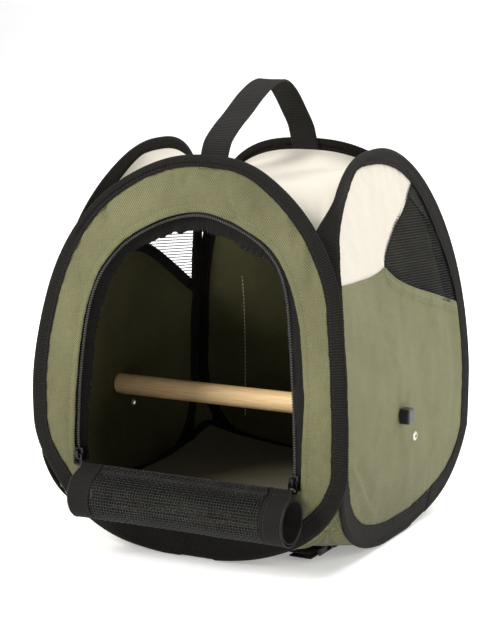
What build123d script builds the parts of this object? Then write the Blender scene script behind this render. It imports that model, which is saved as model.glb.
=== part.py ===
from build123d import *
import math
import os

import numpy as np

# Fold-up fabric travel carrier for a small bird. Millimetres, +Z up.
# Origin: the centre of the four hoops' footprint, on the plane that they stand on.
# The door faces -Y. +X is the viewer's right when facing the door.

os.makedirs("parts", exist_ok=True)

# ---------------------------------------------------------------- dimensions
HOOP_H = 318.0        # height of the hoops
HALF_W = 136.0        # half width of the front and back hoops, and of the side walls' spread
HALF_D = 135.0        # half depth of the side hoops, and of the front and back walls' spread
Z_WIDE = 103.0        # height where the hoops are widest
M_TOP = 2.58          # squareness of a hoop's upper half
M_BOT = 2.45          # squareness of its lower half
FOOT = 22.0           # half length of the flat at a hoop's foot
LEAN_TOP_FB = 50.0    # how far the front and back hoops lean in at the top
LEAN_TOP_LR = 37.0    # the same, side hoops
LEAN_BOT_FB = 8.0     # how far they tuck in at the foot
LEAN_BOT_LR = 11.0
TAPE_T = 3.2          # folded binding tape over the wire, thickness across the fold
TAPE_PLY = 0.8
WIRE_W, WIRE_T = 5.6, 1.0
CLOTH_T = 1.2
NET_T = 0.6

ARCH_HALF = 97.0      # half width of the door's coil line, straight legs
ARCH_FOOT = 68.2
ARCH_TOP = 272.0
SILL = 68.0
COIL_W, COIL_T = 2.2, 1.8

ROLL_R, ROLL_BORE = 19.5, 16.0
ROLL_Y, ROLL_Z = -155.2, 50.0
ROLL_X0, ROLL_X1 = -82.5, 105.0   # the rolled door sits a little to one side
CUFF_L, CUFF_R = 18.0, 17.0

PERCH_R, PERCH_Y, PERCH_Z = 8.75, -13.0, 107.0
PERCH_HALF = 132.2
STUD_R, STUD_IN = 2.5, 20.0
KNOB = 12.0
EYELET_Y, EYELET_Z = 14.0, 84.0

STRAP_W, STRAP_T = 25.0, 2.2
SWING_Z = 330.0       # height of the line that the handle flops about

BUCKLE_X, BUCKLE_Y = 84.0, -58.0


# ---------------------------------------------------------------- shared curves
def n_fb(z):
    """Distance of the front or back wall's outer face from the middle, at height z."""
    up = max(z - 115.0, 0.0) / (HOOP_H - 115.0)
    dn = max(60.0 - z, 0.0) / 60.0
    return HALF_D - LEAN_TOP_FB * up ** 1.95 - LEAN_BOT_FB * dn ** 1.3


def n_lr(z):
    """The same for the side walls."""
    up = max(z - 115.0, 0.0) / (HOOP_H - 115.0)
    dn = max(70.0 - z, 0.0) / 70.0
    return HALF_W - LEAN_TOP_LR * up ** 1.6 - LEAN_BOT_LR * dn ** 1.1


def soft_min(a, b, k=0.8):
    return -k * math.log(math.exp(-(a - b) / k) + 1.0) + b if a - b > -30 else a


def resample(pts, n):
    p = np.array(pts, float)
    d = np.concatenate([[0], np.cumsum(np.hypot(*np.diff(p, axis=0).T))])
    s = np.linspace(0, d[-1], n)
    return np.stack([np.interp(s, d, p[:, 0]), np.interp(s, d, p[:, 1])], 1)


def half_hoop(side, inset, n=18):
    """Right half of a hoop's outline, foot to top, moved in by inset (a number or a function of height)."""
    half, cap = (HALF_W, n_lr) if side in ("front", "back") else (HALF_D, lambda z: n_fb(z) - TAPE_T - 0.15)
    pts = []
    for t in np.linspace(-math.pi / 2, math.pi / 2, 721):
        c, s = max(math.cos(t), 0.0), math.sin(t)
        m = M_TOP if s >= 0 else M_BOT
        u = half * c ** (2 / m)
        z = Z_WIDE + (HOOP_H - Z_WIDE) * s ** (2 / m) if s >= 0 else Z_WIDE * (1 - (-s) ** (2 / m))
        u = max(soft_min(u, cap(z)), 0.0)
        if u < 44 and z < 20:
            z = max(z - 0.5 * min(1.0, (44 - u) / 20.0), 0.0) if u > FOOT else 0.0
        pts.append((u, z))
    p = resample(pts, 401)
    tan = np.gradient(p, axis=0)
    nrm = np.stack([tan[:, 1], -tan[:, 0]], 1)
    nrm /= np.linalg.norm(nrm, axis=1)[:, None]
    w = np.array([inset(z) if callable(inset) else inset for z in p[:, 1]])
    q = p - nrm * w[:, None]
    z0, z1 = q[0, 1], q[-1, 1]
    q = q[(q[:, 0] > FOOT) | (p[:, 1] > 60)]
    q = q[q[:, 0] > 0.5]
    q = resample(np.vstack([[FOOT, z0], q, [0.0, z1]]), n)
    return [tuple(v) for v in q]


def tape_w(z):
    """Width of the tape's face: narrow over the top, wide at the foot."""
    if z > Z_WIDE:
        return 13.5 - 2.5 * ((z - Z_WIDE) / (HOOP_H - Z_WIDE)) ** 2
    return 13.5 + 6.5 * ((Z_WIDE - z) / Z_WIDE) ** 2


def arch_half(off):
    """Right half of the door arch, foot to top, moved out by off."""
    raw = [(97, 130), (96.3, 140), (95.2, 150), (92.6, 172), (87.8, 203), (82.0, 221.5), (75.0, 235.0),
           (65.3, 246.4), (54.0, 255.2), (39.5, 262.9), (23.0, 268.6), (8.0, 271.5), (0.0, ARCH_TOP)]
    p = np.array(raw, float)
    tan = np.gradient(p, axis=0)
    tan[0], tan[-1] = (0, 1), (-1, 0)
    nrm = np.stack([tan[:, 1], -tan[:, 0]], 1)
    nrm /= np.linalg.norm(nrm, axis=1)[:, None]
    q = p + nrm * off
    q[-1, 0] = 0.0
    return [tuple(v) for v in q]


# ---------------------------------------------------------------- builders used inside a part
def outline_sketch(plane, side, inset):
    """The closed outline of a hoop, on the plane that it is seen square on."""
    half = half_hoop(side, inset)
    with BuildSketch(plane) as sk:
        with BuildLine():
            Line((-half[0][0], half[0][1]), half[0])
            Spline(*half, tangents=[(1, 0), (-1, 0)])
            Spline(*[(-x, z) for x, z in half], tangents=[(-1, 0), (1, 0)])
        make_face()
    return sk.sketch


def arch_sketch(off, foot):
    half = arch_half(off)
    with BuildSketch(Plane.XZ) as sk:
        with BuildLine():
            Line((-half[0][0], foot), (half[0][0], foot))
            Line((half[0][0], foot), half[0])
            Spline(*half, tangents=[(0, 1), (-1, 0)])
            Line((-half[0][0], foot), (-half[0][0], half[0][1]))
            Spline(*[(-x, z) for x, z in half], tangents=[(0, 1), (1, 0)])
        make_face()
    return sk.sketch


def wall_slab(side, d0, d1, mode=Mode.ADD):
    """The wall's bent sheet between depths d0 and d1 under its outer face, as wide as the object."""
    n_of = n_fb if side in ("front", "back") else n_lr
    s = -1 if side in ("front", "left") else 1
    plane = Plane.YZ if side in ("front", "back") else Plane.XZ
    zs = [-8.0, 14.0, 34.0, 52.0, 66.0, 90.0, 114.0, 136.0, 164.0, 196.0, 230.0, 264.0, 296.0, 328.0]
    outer = [(s * (n_of(z) - d0), z) for z in zs]
    inner = [(s * (n_of(z) - d1), z) for z in zs]
    with BuildSketch(plane) as sk:
        with BuildLine():
            Spline(*outer)
            Line(outer[-1], inner[-1])
            Spline(*inner)
            Line(inner[0], outer[0])
        make_face()
    extrude(sk.sketch, amount=160, both=True, mode=mode)


def outline_cut(side, inset, mode=Mode.INTERSECT):
    """Keep, or take away, what lies inside a hoop's outline."""
    face = outline_sketch(Plane.XZ if side in ("front", "back") else Plane.YZ, side, inset)
    extrude(face, amount=170, both=True, mode=mode)


def strip(pts, half):
    """A closed polygon half wide each side of a polyline."""
    p = np.array(pts, float)
    tan = np.gradient(p, axis=0)
    nrm = np.stack([tan[:, 1], -tan[:, 0]], 1)
    nrm /= np.linalg.norm(nrm, axis=1)[:, None]
    a, b = p + nrm * half, p - nrm * half
    return [tuple(v) for v in a] + [tuple(v) for v in b[::-1]]


# ---------------------------------------------------------------- the four hoops
def fold_space(side):
    """What the folded tape holds: the wire and the cloth's edge."""
    with BuildPart() as space:
        wall_slab(side, TAPE_PLY, TAPE_T - TAPE_PLY)
        outline_cut(side, 1.0)
    return space.part


def hoop_tape(side, space):
    wall_slab(side, 0.0, TAPE_T)
    outline_cut(side, 0.0)
    outline_cut(side, tape_w, mode=Mode.SUBTRACT)
    add(space, mode=Mode.SUBTRACT)


def hoop_wire(side):
    d = (TAPE_T - WIRE_T) / 2
    wall_slab(side, d, d + WIRE_T)
    outline_cut(side, 1.3)
    outline_cut(side, 1.3 + WIRE_W, mode=Mode.SUBTRACT)


space_front = fold_space("front")
with BuildPart() as hoop_tape_front:
    hoop_tape("front", space_front)
hoop_tape_front.part.label = "hoop_tape_front"
export_step(hoop_tape_front.part, "parts/hoop_tape_front.step")

with BuildPart() as hoop_tape_back:
    mirror(hoop_tape_front.part, about=Plane.XZ)
hoop_tape_back.part.label = "hoop_tape_back"
export_step(hoop_tape_back.part, "parts/hoop_tape_back.step")

space_left = fold_space("left")
with BuildPart() as hoop_tape_left:
    hoop_tape("left", space_left)
hoop_tape_left.part.label = "hoop_tape_left"
export_step(hoop_tape_left.part, "parts/hoop_tape_left.step")

with BuildPart() as hoop_tape_right:
    mirror(hoop_tape_left.part, about=Plane.YZ)
hoop_tape_right.part.label = "hoop_tape_right"
export_step(hoop_tape_right.part, "parts/hoop_tape_right.step")

with BuildPart() as hoop_wire_front:
    hoop_wire("front")
hoop_wire_front.part.label = "hoop_wire_front"
export_step(hoop_wire_front.part, "parts/hoop_wire_front.step")

with BuildPart() as hoop_wire_back:
    mirror(hoop_wire_front.part, about=Plane.XZ)
hoop_wire_back.part.label = "hoop_wire_back"
export_step(hoop_wire_back.part, "parts/hoop_wire_back.step")

with BuildPart() as hoop_wire_left:
    hoop_wire("left")
hoop_wire_left.part.label = "hoop_wire_left"
export_step(hoop_wire_left.part, "parts/hoop_wire_left.step")

with BuildPart() as hoop_wire_right:
    mirror(hoop_wire_left.part, about=Plane.YZ)
hoop_wire_right.part.label = "hoop_wire_right"
export_step(hoop_wire_right.part, "parts/hoop_wire_right.step")

# ---------------------------------------------------------------- front and back walls
CLOTH_D = (TAPE_T - CLOTH_T) / 2          # the cloth runs through the middle of the tape's fold
PANEL_IN = 8.2                            # cloth edge, inside the tape

with BuildPart() as front_panel:
    wall_slab("front", CLOTH_D, CLOTH_D + CLOTH_T)
    outline_cut("front", PANEL_IN)
    extrude(arch_sketch(5.3, SILL), amount=200, mode=Mode.SUBTRACT)
front_panel.part.label = "front_panel"
export_step(front_panel.part, "parts/front_panel.step")

with BuildPart() as back_panel:
    wall_slab("back", CLOTH_D, CLOTH_D + CLOTH_T)
    outline_cut("back", PANEL_IN)
back_panel.part.label = "back_panel"
export_step(back_panel.part, "parts/back_panel.step")

# flat pocket stitched on the back wall's outer face
with BuildPart() as back_pocket:
    wall_slab("back", -0.4, CLOTH_D - 0.1)
    with BuildSketch(Plane.XZ):
        with Locations((0, 115)):
            RectangleRounded(172, 142, 6)
    extrude(amount=-200, mode=Mode.INTERSECT)
back_pocket.part.label = "back_pocket"
export_step(back_pocket.part, "parts/back_pocket.step")

# ---------------------------------------------------------------- side walls
SEAM = [(-150, 226.0), (-106, 225.3), (-78, 224.4), (-49, 224.0), (-30, 225.6), (-19, 228.0)]
HEM = [(-19, 228.0), (-4, 218.4), (13, 210.8), (35, 203.2), (64, 195.0), (95, 186.0), (124, 177.0), (150, 169.0)]
DIAG = [(-19, 228.0), (-15, 234.0), (-6, 241.7), (5, 249.2), (18.5, 257.0), (36, 266.4), (51, 275.4), (63, 284.7), (84, 303.0)]


def side_region(pts):
    with BuildSketch(Plane.YZ) as sk:
        with BuildLine():
            Polyline(*pts, close=True)
        make_face()
    extrude(sk.sketch, amount=170, both=True, mode=Mode.INTERSECT)


def side_lower(side):
    wall_slab(side, CLOTH_D, CLOTH_D + CLOTH_T)
    outline_cut(side, PANEL_IN)
    side_region([(-160, -20)] + [(y - 10 if y == -150 else y, z) for y, z in SEAM] + HEM[1:] + [(150, -20)])
    with BuildSketch(Plane.YZ) as sk:
        with Locations((PERCH_Y, PERCH_Z)):
            Circle(3.2)
        with Locations((EYELET_Y, EYELET_Z)):
            Circle(2.55)
    extrude(sk.sketch, amount=170, both=True, mode=Mode.SUBTRACT)


def side_upper(side):
    wall_slab(side, CLOTH_D, CLOTH_D + CLOTH_T)
    outline_cut(side, PANEL_IN)
    side_region(SEAM + DIAG[1:] + [(84, 340), (-150, 340)])


def side_net(side):
    wall_slab(side, (TAPE_T - NET_T) / 2, (TAPE_T + NET_T) / 2)
    outline_cut(side, PANEL_IN)
    side_region(HEM + [(150, 340), (84, 340)] + DIAG[:0:-1])


def side_hem(side):
    """Binding on the inside of the net's two straight edges."""
    wall_slab(side, CLOTH_D + CLOTH_T + 0.1, CLOTH_D + CLOTH_T + 0.9)
    outline_cut(side, PANEL_IN + 7)
    with BuildSketch(Plane.YZ) as sk:
        with BuildLine():
            Polyline(*strip(HEM, 4.5), close=True)
        make_face()
        with BuildLine():
            Polyline(*strip(DIAG, 4.5), close=True)
        make_face()
    extrude(sk.sketch, amount=170, both=True, mode=Mode.INTERSECT)


with BuildPart() as side_panel_lower_left:
    side_lower("left")
side_panel_lower_left.part.label = "side_panel_lower_left"
export_step(side_panel_lower_left.part, "parts/side_panel_lower_left.step")

with BuildPart() as side_panel_lower_right:
    mirror(side_panel_lower_left.part, about=Plane.YZ)
side_panel_lower_right.part.label = "side_panel_lower_right"
export_step(side_panel_lower_right.part, "parts/side_panel_lower_right.step")

with BuildPart() as side_panel_upper_left:
    side_upper("left")
side_panel_upper_left.part.label = "side_panel_upper_left"
export_step(side_panel_upper_left.part, "parts/side_panel_upper_left.step")

with BuildPart() as side_panel_upper_right:
    mirror(side_panel_upper_left.part, about=Plane.YZ)
side_panel_upper_right.part.label = "side_panel_upper_right"
export_step(side_panel_upper_right.part, "parts/side_panel_upper_right.step")

with BuildPart() as window_net_left:
    side_net("left")
window_net_left.part.label = "window_net_left"
export_step(window_net_left.part, "parts/window_net_left.step")

with BuildPart() as window_net_right:
    mirror(window_net_left.part, about=Plane.YZ)
window_net_right.part.label = "window_net_right"
export_step(window_net_right.part, "parts/window_net_right.step")

with BuildPart() as window_hem_left:
    side_hem("left")
window_hem_left.part.label = "window_hem_left"
export_step(window_hem_left.part, "parts/window_hem_left.step")

with BuildPart() as window_hem_right:
    mirror(window_hem_left.part, about=Plane.YZ)
window_hem_right.part.label = "window_hem_right"
export_step(window_hem_right.part, "parts/window_hem_right.step")


# ---------------------------------------------------------------- top and bottom cloth
def star_net(top, n=19):
    """A net stretched between the four hoops: n by n points, corners where the hoops meet."""
    hf = np.array(half_hoop("front", 0.0, 201))
    hs = np.array(half_hoop("right", 0.0, 201))
    lift = -10.5 if top else 1.6
    zc = 246.0 if top else 77.0
    d_f, d_s = (5.6, 4.6) if top else (4.4, 4.4)

    def edge_z(h, u):
        sel = h[h[:, 1] >= Z_WIDE][::-1] if top else h[h[:, 1] <= Z_WIDE]
        return float(np.interp(abs(u), sel[:, 0], sel[:, 1])) + lift

    xc, yc = n_lr(zc) - d_s - 0.6, n_fb(zc) - d_f - 0.6
    v = np.sin(np.linspace(-math.pi / 2, math.pi / 2, n)) * 0.35 + np.linspace(-1, 1, n) * 0.65
    g = np.zeros((n, n, 3))
    for i, t in enumerate(v):
        fade = max(0.0, 1 - (1 - abs(t)) / 0.16) ** 2
        x = t * xc
        z = edge_z(hf, x) * (1 - fade) + zc * fade
        y = n_fb(z) - d_f
        y = y * (1 - fade) + yc * fade
        g[0, i] = (x, -y, z)
        g[-1, i] = (x, y, z)
        y = t * yc
        z = edge_z(hs, y) * (1 - fade) + zc * fade
        x = n_lr(z) - d_s
        x = x * (1 - fade) + xc * fade
        g[i, 0] = (-x, y, z)
        g[i, -1] = (x, y, z)
    a = np.linspace(0, 1, n)
    for i in range(1, n - 1):
        for j in range(1, n - 1):
            g[i, j] = (g[i, 0] * (1 - a[j]) + g[i, -1] * a[j] + g[0, j] * (1 - a[i]) + g[-1, j] * a[i]) / 2
    for _ in range(1500):
        avg = (g[:-2, 1:-1] + g[2:, 1:-1] + g[1:-1, :-2] + g[1:-1, 2:]) / 4
        if not top:
            avg[..., 2] = np.maximum(avg[..., 2] - 0.9, 9.2)
        g[1:-1, 1:-1] = avg
    return g


def cloth_face(g):
    return Face.make_surface_from_array_of_points([[Vector(*p) for p in row] for row in g], tol=0.05)


top_cloth = cloth_face(star_net(True))
with BuildPart() as top_panel:
    extrude(top_cloth, amount=CLOTH_T, dir=(0, 0, -1))
top_panel.part.label = "top_panel"
export_step(top_panel.part, "parts/top_panel.step")

bottom_cloth = cloth_face(star_net(False))
with BuildPart() as bottom_panel:
    extrude(bottom_cloth, amount=CLOTH_T, dir=(0, 0, 1))
bottom_panel.part.label = "bottom_panel"
export_step(bottom_panel.part, "parts/bottom_panel.step")

# the covered board: its corners ride up on the hoops' lower corners
BOARD = 117.0
board_pts = []
for yy in np.linspace(-BOARD, BOARD, 13):
    board_pts.append([(x, yy, 30.0 + 18.0 * (x / BOARD) ** 2 * (yy / BOARD) ** 2) for x in np.linspace(-BOARD, BOARD, 13)])
board_face = cloth_face(np.array(board_pts))
with BuildPart() as base_board:
    extrude(board_face, amount=3.0, dir=(0, 0, 1))
    with BuildSketch(Plane.XY):
        RectangleRounded(2 * BOARD - 1, 2 * BOARD - 1, 10)
    extrude(amount=80, mode=Mode.INTERSECT)
base_board.part.label = "base_board"
export_step(base_board.part, "parts/base_board.step")

# ---------------------------------------------------------------- door surround
with BuildPart() as coil_bead:
    wall_slab("front", 2.7 - COIL_T / 2, 2.7 + COIL_T / 2)
    extrude(arch_sketch(COIL_W / 2, ARCH_FOOT), amount=200, mode=Mode.INTERSECT)
    extrude(arch_sketch(-COIL_W / 2, ARCH_FOOT - 5), amount=200, mode=Mode.SUBTRACT)

with BuildPart() as zip_stringer:
    wall_slab("front", 2.3, 3.1)
    extrude(arch_sketch(11.0, ARCH_FOOT), amount=200, mode=Mode.INTERSECT)
    extrude(arch_sketch(0.5, ARCH_FOOT - 5), amount=200, mode=Mode.SUBTRACT)
    add(coil_bead.part)
zip_stringer.part.label = "zip_stringer"
export_step(zip_stringer.part, "parts/zip_stringer.step")

with BuildPart() as door_facing:
    wall_slab("front", 3.3, 4.1)
    extrude(arch_sketch(16.0, ARCH_FOOT), amount=200, mode=Mode.INTERSECT)
    extrude(arch_sketch(5.4, ARCH_FOOT - 5), amount=200, mode=Mode.SUBTRACT)
door_facing.part.label = "door_facing"
export_step(door_facing.part, "parts/door_facing.step")

with BuildPart() as door_sill_tape:
    wall_slab("front", -0.4, CLOTH_D - 0.1)
    with BuildSketch(Plane.XZ):
        with Locations((0, 63.5)):
            Rectangle(2 * ARCH_HALF - 9, 9)
    extrude(amount=200, mode=Mode.INTERSECT)
door_sill_tape.part.label = "door_sill_tape"
export_step(door_sill_tape.part, "parts/door_sill_tape.step")


# ---------------------------------------------------------------- the rolled door
def roll_tube(x0, x1, r_out, r_in):
    with BuildSketch(Plane.YZ.offset(x0)) as sk:
        with Locations((ROLL_Y, ROLL_Z)):
            Circle(r_out)
            Circle(r_in, mode=Mode.SUBTRACT)
    extrude(sk.sketch, amount=x1 - x0)


with BuildPart() as door_roll:
    roll_tube(ROLL_X0 + CUFF_L, ROLL_X1 - CUFF_R, ROLL_R, ROLL_BORE)
door_roll.part.label = "door_roll"
export_step(door_roll.part, "parts/door_roll.step")

with BuildPart() as door_cuff_left:
    roll_tube(ROLL_X0, ROLL_X0 + CUFF_L, ROLL_R, ROLL_BORE)
door_cuff_left.part.label = "door_cuff_left"
export_step(door_cuff_left.part, "parts/door_cuff_left.step")

with BuildPart() as door_cuff_right:
    roll_tube(ROLL_X1 - CUFF_R, ROLL_X1, ROLL_R, ROLL_BORE)
door_cuff_right.part.label = "door_cuff_right"
export_step(door_cuff_right.part, "parts/door_cuff_right.step")

# ---------------------------------------------------------------- zip sliders and pulls
SL_Z0, SL_Z1 = 71.0, 81.0
WALL_Y = -HALF_D


def slider(sx):
    """Two plates round the coil, joined by a post on the opening's side, with a bridge in front."""
    with BuildSketch(Plane.XY.offset(SL_Z0)) as plates:
        with Locations((sx * 97.15, WALL_Y + 2.7)):
            Rectangle(8.3, 5.8)
    extrude(plates.sketch, amount=SL_Z1 - SL_Z0)
    # channel for the coil, and the slot for its tape, open to the side
    with BuildSketch(Plane.XY.offset(SL_Z0 - 1)) as channel:
        with Locations((sx * 97.0, WALL_Y + 2.7)):
            Rectangle(3.4, 2.9)
        with Locations((sx * 100.0, WALL_Y + 2.7)):
            Rectangle(6.0, 1.8)
    extrude(channel.sketch, amount=SL_Z1 - SL_Z0 + 2, mode=Mode.SUBTRACT)
    # bridge that holds the pull
    with BuildSketch(Plane.YZ.offset(sx * 97.15 - 1.1)) as bridge:
        with BuildLine():
            Polyline((WALL_Y - 0.1, SL_Z0 + 0.9), (WALL_Y - 3.0, SL_Z0 + 2.2), (WALL_Y - 3.0, SL_Z1 - 2.2),
                     (WALL_Y - 0.1, SL_Z1 - 0.9), (WALL_Y - 0.1, SL_Z1 - 2.2), (WALL_Y - 1.9, SL_Z1 - 3.0),
                     (WALL_Y - 1.9, SL_Z0 + 3.0), (WALL_Y - 0.1, SL_Z0 + 2.2), close=True)
        make_face()
    extrude(bridge.sketch, amount=2.2)


PULL_Y, PULL_Z = WALL_Y - 1.05, SL_Z0 + 5.0    # the line that a pull flips about


def pull(sx):
    """A small ring whose upper bar lies behind the slider's bridge."""
    with BuildSketch(Plane.XZ.offset(-(PULL_Y + 0.45))) as ring:
        with Locations((sx * 97.15, PULL_Z + 0.45 - 4.9)):
            RectangleRounded(8.0, 9.8, 2.2)
        with Locations((sx * 97.15, PULL_Z + 0.45 - 0.9 - 3.75)):
            RectangleRounded(5.6, 7.5, 1.5, mode=Mode.SUBTRACT)
    extrude(ring.sketch, amount=0.9)


with BuildPart() as zip_slider_left:
    slider(-1)
zip_slider_left.part.label = "zip_slider_left"
export_step(zip_slider_left.part, "parts/zip_slider_left.step")

with BuildPart() as zip_slider_right:
    mirror(zip_slider_left.part, about=Plane.YZ)
zip_slider_right.part.label = "zip_slider_right"
export_step(zip_slider_right.part, "parts/zip_slider_right.step")

with BuildPart() as zip_pull_left:
    pull(-1)
zip_pull_left.part.label = "zip_pull_left"
export_step(zip_pull_left.part, "parts/zip_pull_left.step")

with BuildPart() as zip_pull_right:
    mirror(zip_pull_left.part, about=Plane.YZ)
zip_pull_right.part.label = "zip_pull_right"
export_step(zip_pull_right.part, "parts/zip_pull_right.step")

# ---------------------------------------------------------------- perch
with BuildPart() as perch_dowel:
    with BuildSketch(Plane.YZ.offset(-PERCH_HALF)):
        with Locations((PERCH_Y, PERCH_Z)):
            Circle(PERCH_R)
    extrude(amount=2 * PERCH_HALF)
    chamfer(perch_dowel.edges().filter_by(GeomType.CIRCLE), 0.8)
    with BuildSketch(Plane.YZ.offset(PERCH_HALF - STUD_IN - 1)):
        with Locations((PERCH_Y, PERCH_Z)):
            Circle(STUD_R + 0.06)
    extrude(amount=STUD_IN + 5, mode=Mode.SUBTRACT)
    with BuildSketch(Plane.YZ.offset(-PERCH_HALF - 4)):
        with Locations((PERCH_Y, PERCH_Z)):
            Circle(STUD_R + 0.06)
    extrude(amount=STUD_IN + 5, mode=Mode.SUBTRACT)
perch_dowel.part.label = "perch_dowel"
export_step(perch_dowel.part, "parts/perch_dowel.step")

KNOB_X0 = HALF_W - CLOTH_D + 0.4
KNOB_T = 8.2


def perch_screw(sx):
    with BuildSketch(Plane.YZ.offset(KNOB_X0 if sx > 0 else -KNOB_X0 - KNOB_T)) as square:
        with Locations((PERCH_Y, PERCH_Z)):
            RectangleRounded(KNOB, KNOB + 0.8, 2.6)
    head = extrude(square.sketch, amount=KNOB_T)
    face = head.faces().sort_by(Axis.X)[-1 if sx > 0 else 0]
    fillet(face.edges(), 1.6)
    with BuildSketch(Plane.YZ.offset(PERCH_HALF - STUD_IN if sx > 0 else -KNOB_X0 - 1)) as stud:
        with Locations((PERCH_Y, PERCH_Z)):
            Circle(STUD_R)
    extrude(stud.sketch, amount=KNOB_X0 + 1 - (PERCH_HALF - STUD_IN))


with BuildPart() as perch_screw_left:
    perch_screw(-1)
perch_screw_left.part.label = "perch_screw_left"
export_step(perch_screw_left.part, "parts/perch_screw_left.step")

with BuildPart() as perch_screw_right:
    mirror(perch_screw_left.part, about=Plane.YZ)
perch_screw_right.part.label = "perch_screw_right"
export_step(perch_screw_right.part, "parts/perch_screw_right.step")


def perch_plate(sx):
    x_in = HALF_W - CLOTH_D - CLOTH_T - 0.1
    with BuildSketch(Plane.YZ.offset(x_in - 1.2 if sx > 0 else -x_in)) as disc:
        with Locations((PERCH_Y, PERCH_Z)):
            Circle(9.6)
            Circle(3.2, mode=Mode.SUBTRACT)
    extrude(disc.sketch, amount=1.2)


with BuildPart() as perch_plate_left:
    perch_plate(-1)
perch_plate_left.part.label = "perch_plate_left"
export_step(perch_plate_left.part, "parts/perch_plate_left.step")

with BuildPart() as perch_plate_right:
    mirror(perch_plate_left.part, about=Plane.YZ)
perch_plate_right.part.label = "perch_plate_right"
export_step(perch_plate_right.part, "parts/perch_plate_right.step")


def eyelet(sx):
    """A rolled metal ring through the cloth: a flange on each side of it."""
    x_out = HALF_W - CLOTH_D
    with BuildSketch(Plane.XZ.offset(-EYELET_Y)) as rim:
        with BuildLine():
            Polyline((sx * (x_out - CLOTH_T - 1.2), EYELET_Z + 1.7), (sx * (x_out + 1.1), EYELET_Z + 1.7),
                     (sx * (x_out + 1.1), EYELET_Z + 2.8), (sx * (x_out + 0.2), EYELET_Z + 3.9),
                     (sx * (x_out + 0.2), EYELET_Z + 2.3), (sx * (x_out - CLOTH_T - 0.2), EYELET_Z + 2.3),
                     (sx * (x_out - CLOTH_T - 0.2), EYELET_Z + 3.9), (sx * (x_out - CLOTH_T - 1.2), EYELET_Z + 2.8),
                     close=True)
        make_face()
    revolve(rim.sketch, axis=Axis((0, EYELET_Y, EYELET_Z), (1, 0, 0)), revolution_arc=360)


with BuildPart() as eyelet_left:
    eyelet(-1)
eyelet_left.part.label = "eyelet_left"
export_step(eyelet_left.part, "parts/eyelet_left.step")

with BuildPart() as eyelet_right:
    mirror(eyelet_left.part, about=Plane.YZ)
eyelet_right.part.label = "eyelet_right"
export_step(eyelet_right.part, "parts/eyelet_right.step")

# ---------------------------------------------------------------- carry handle
HANDLE = [(-78.3, 318.6), (-76.4, 327.0), (-60.0, 338.0), (-39.0, 348.5), (-16.0, 361.0), (6.0, 369.2), (24.0, 370.2),
          (42.0, 361.0), (60.0, 344.5), (75.6, 328.0), (78.3, 318.6)]


def strap_outline(pts, half):
    p = np.array(pts, float)
    tan = np.gradient(p, axis=0)
    nrm = np.stack([-tan[:, 1], tan[:, 0]], 1)
    nrm /= np.linalg.norm(nrm, axis=1)[:, None]
    return [tuple(v) for v in p + nrm * half], [tuple(v) for v in p - nrm * half]


with BuildPart() as carry_handle:
    over, under = strap_outline(HANDLE, STRAP_T / 2)
    with BuildSketch(Plane.YZ):
        with BuildLine():
            Spline(*over)
            Line(over[-1], under[-1])
            Spline(*under)
            Line(under[0], over[0])
        make_face()
    extrude(amount=STRAP_W, both=True)
    # full width above the swing line, rounded off below it so that it can turn
    with BuildSketch(Plane.XZ):
        with Locations((0, SWING_Z)):
            Circle(STRAP_W / 2)
        with Locations((0, SWING_Z + 40)):
            Rectangle(STRAP_W, 80)
    extrude(amount=150, both=True, mode=Mode.INTERSECT)
carry_handle.part.label = "carry_handle"
export_step(carry_handle.part, "parts/carry_handle.step")


def handle_tab(side):
    wall_slab(side, TAPE_T + 0.1, TAPE_T + 1.8)
    with BuildSketch(Plane.XZ) as tab:
        with Locations((0, 309.0)):
            Rectangle(STRAP_W, 15)
    extrude(tab.sketch, amount=200 if side == "front" else -200, mode=Mode.INTERSECT)


with BuildPart() as handle_tab_front:
    handle_tab("front")
handle_tab_front.part.label = "handle_tab_front"
export_step(handle_tab_front.part, "parts/handle_tab_front.step")

with BuildPart() as handle_tab_back:
    mirror(handle_tab_front.part, about=Plane.XZ)
handle_tab_back.part.label = "handle_tab_back"
export_step(handle_tab_back.part, "parts/handle_tab_back.step")

# ---------------------------------------------------------------- strap and buckle under the base
BW, BL, BT = 24.0, 26.0, 6.6             # socket: width, length, thickness
BZ = 2.0                                 # its underside, above the floor

BAR_Z0, BAR_Z1 = 4.1, 6.5                # the strap bars

with BuildPart() as buckle_socket:
    with BuildSketch(Plane.XY.offset(BZ)):
        with Locations((BUCKLE_X, BUCKLE_Y - BL / 2)):
            RectangleRounded(BW, BL, 3)
    extrude(amount=BT)
    chamfer(buckle_socket.edges().group_by(Axis.Z)[-1] + buckle_socket.edges().group_by(Axis.Z)[0], 0.8)
    # mouth for the prongs
    with BuildSketch(Plane.XY.offset(BZ + 1.6)):
        with Locations((BUCKLE_X, BUCKLE_Y - 8)):
            Rectangle(21.0, 17)
    extrude(amount=BT - 3.2, mode=Mode.SUBTRACT)
    # windows where the prongs are squeezed
    with BuildSketch(Plane.XY.offset(BZ + 1.6)):
        with Locations((BUCKLE_X, BUCKLE_Y - 9)):
            Rectangle(BW + 4, 8)
    extrude(amount=BT - 3.2, mode=Mode.SUBTRACT)
    # slot for the strap
    with BuildSketch(Plane.XY.offset(BZ - 1)):
        with Locations((BUCKLE_X, BUCKLE_Y - BL + 4.2)):
            Rectangle(20.6, 3.2)
    extrude(amount=BT + 2, mode=Mode.SUBTRACT)
    # the bar beyond the slot is thinner, so that the strap folds round it
    for z in (BZ - 1, BAR_Z1):
        with BuildSketch(Plane.XY.offset(z)):
            with Locations((BUCKLE_X, BUCKLE_Y - BL + 1.3)):
                Rectangle(20.6, 6.0)
        extrude(amount=BAR_Z0 - BZ + 1 if z < BZ else BT, mode=Mode.SUBTRACT)
buckle_socket.part.label = "buckle_socket"
export_step(buckle_socket.part, "parts/buckle_socket.step")

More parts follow.
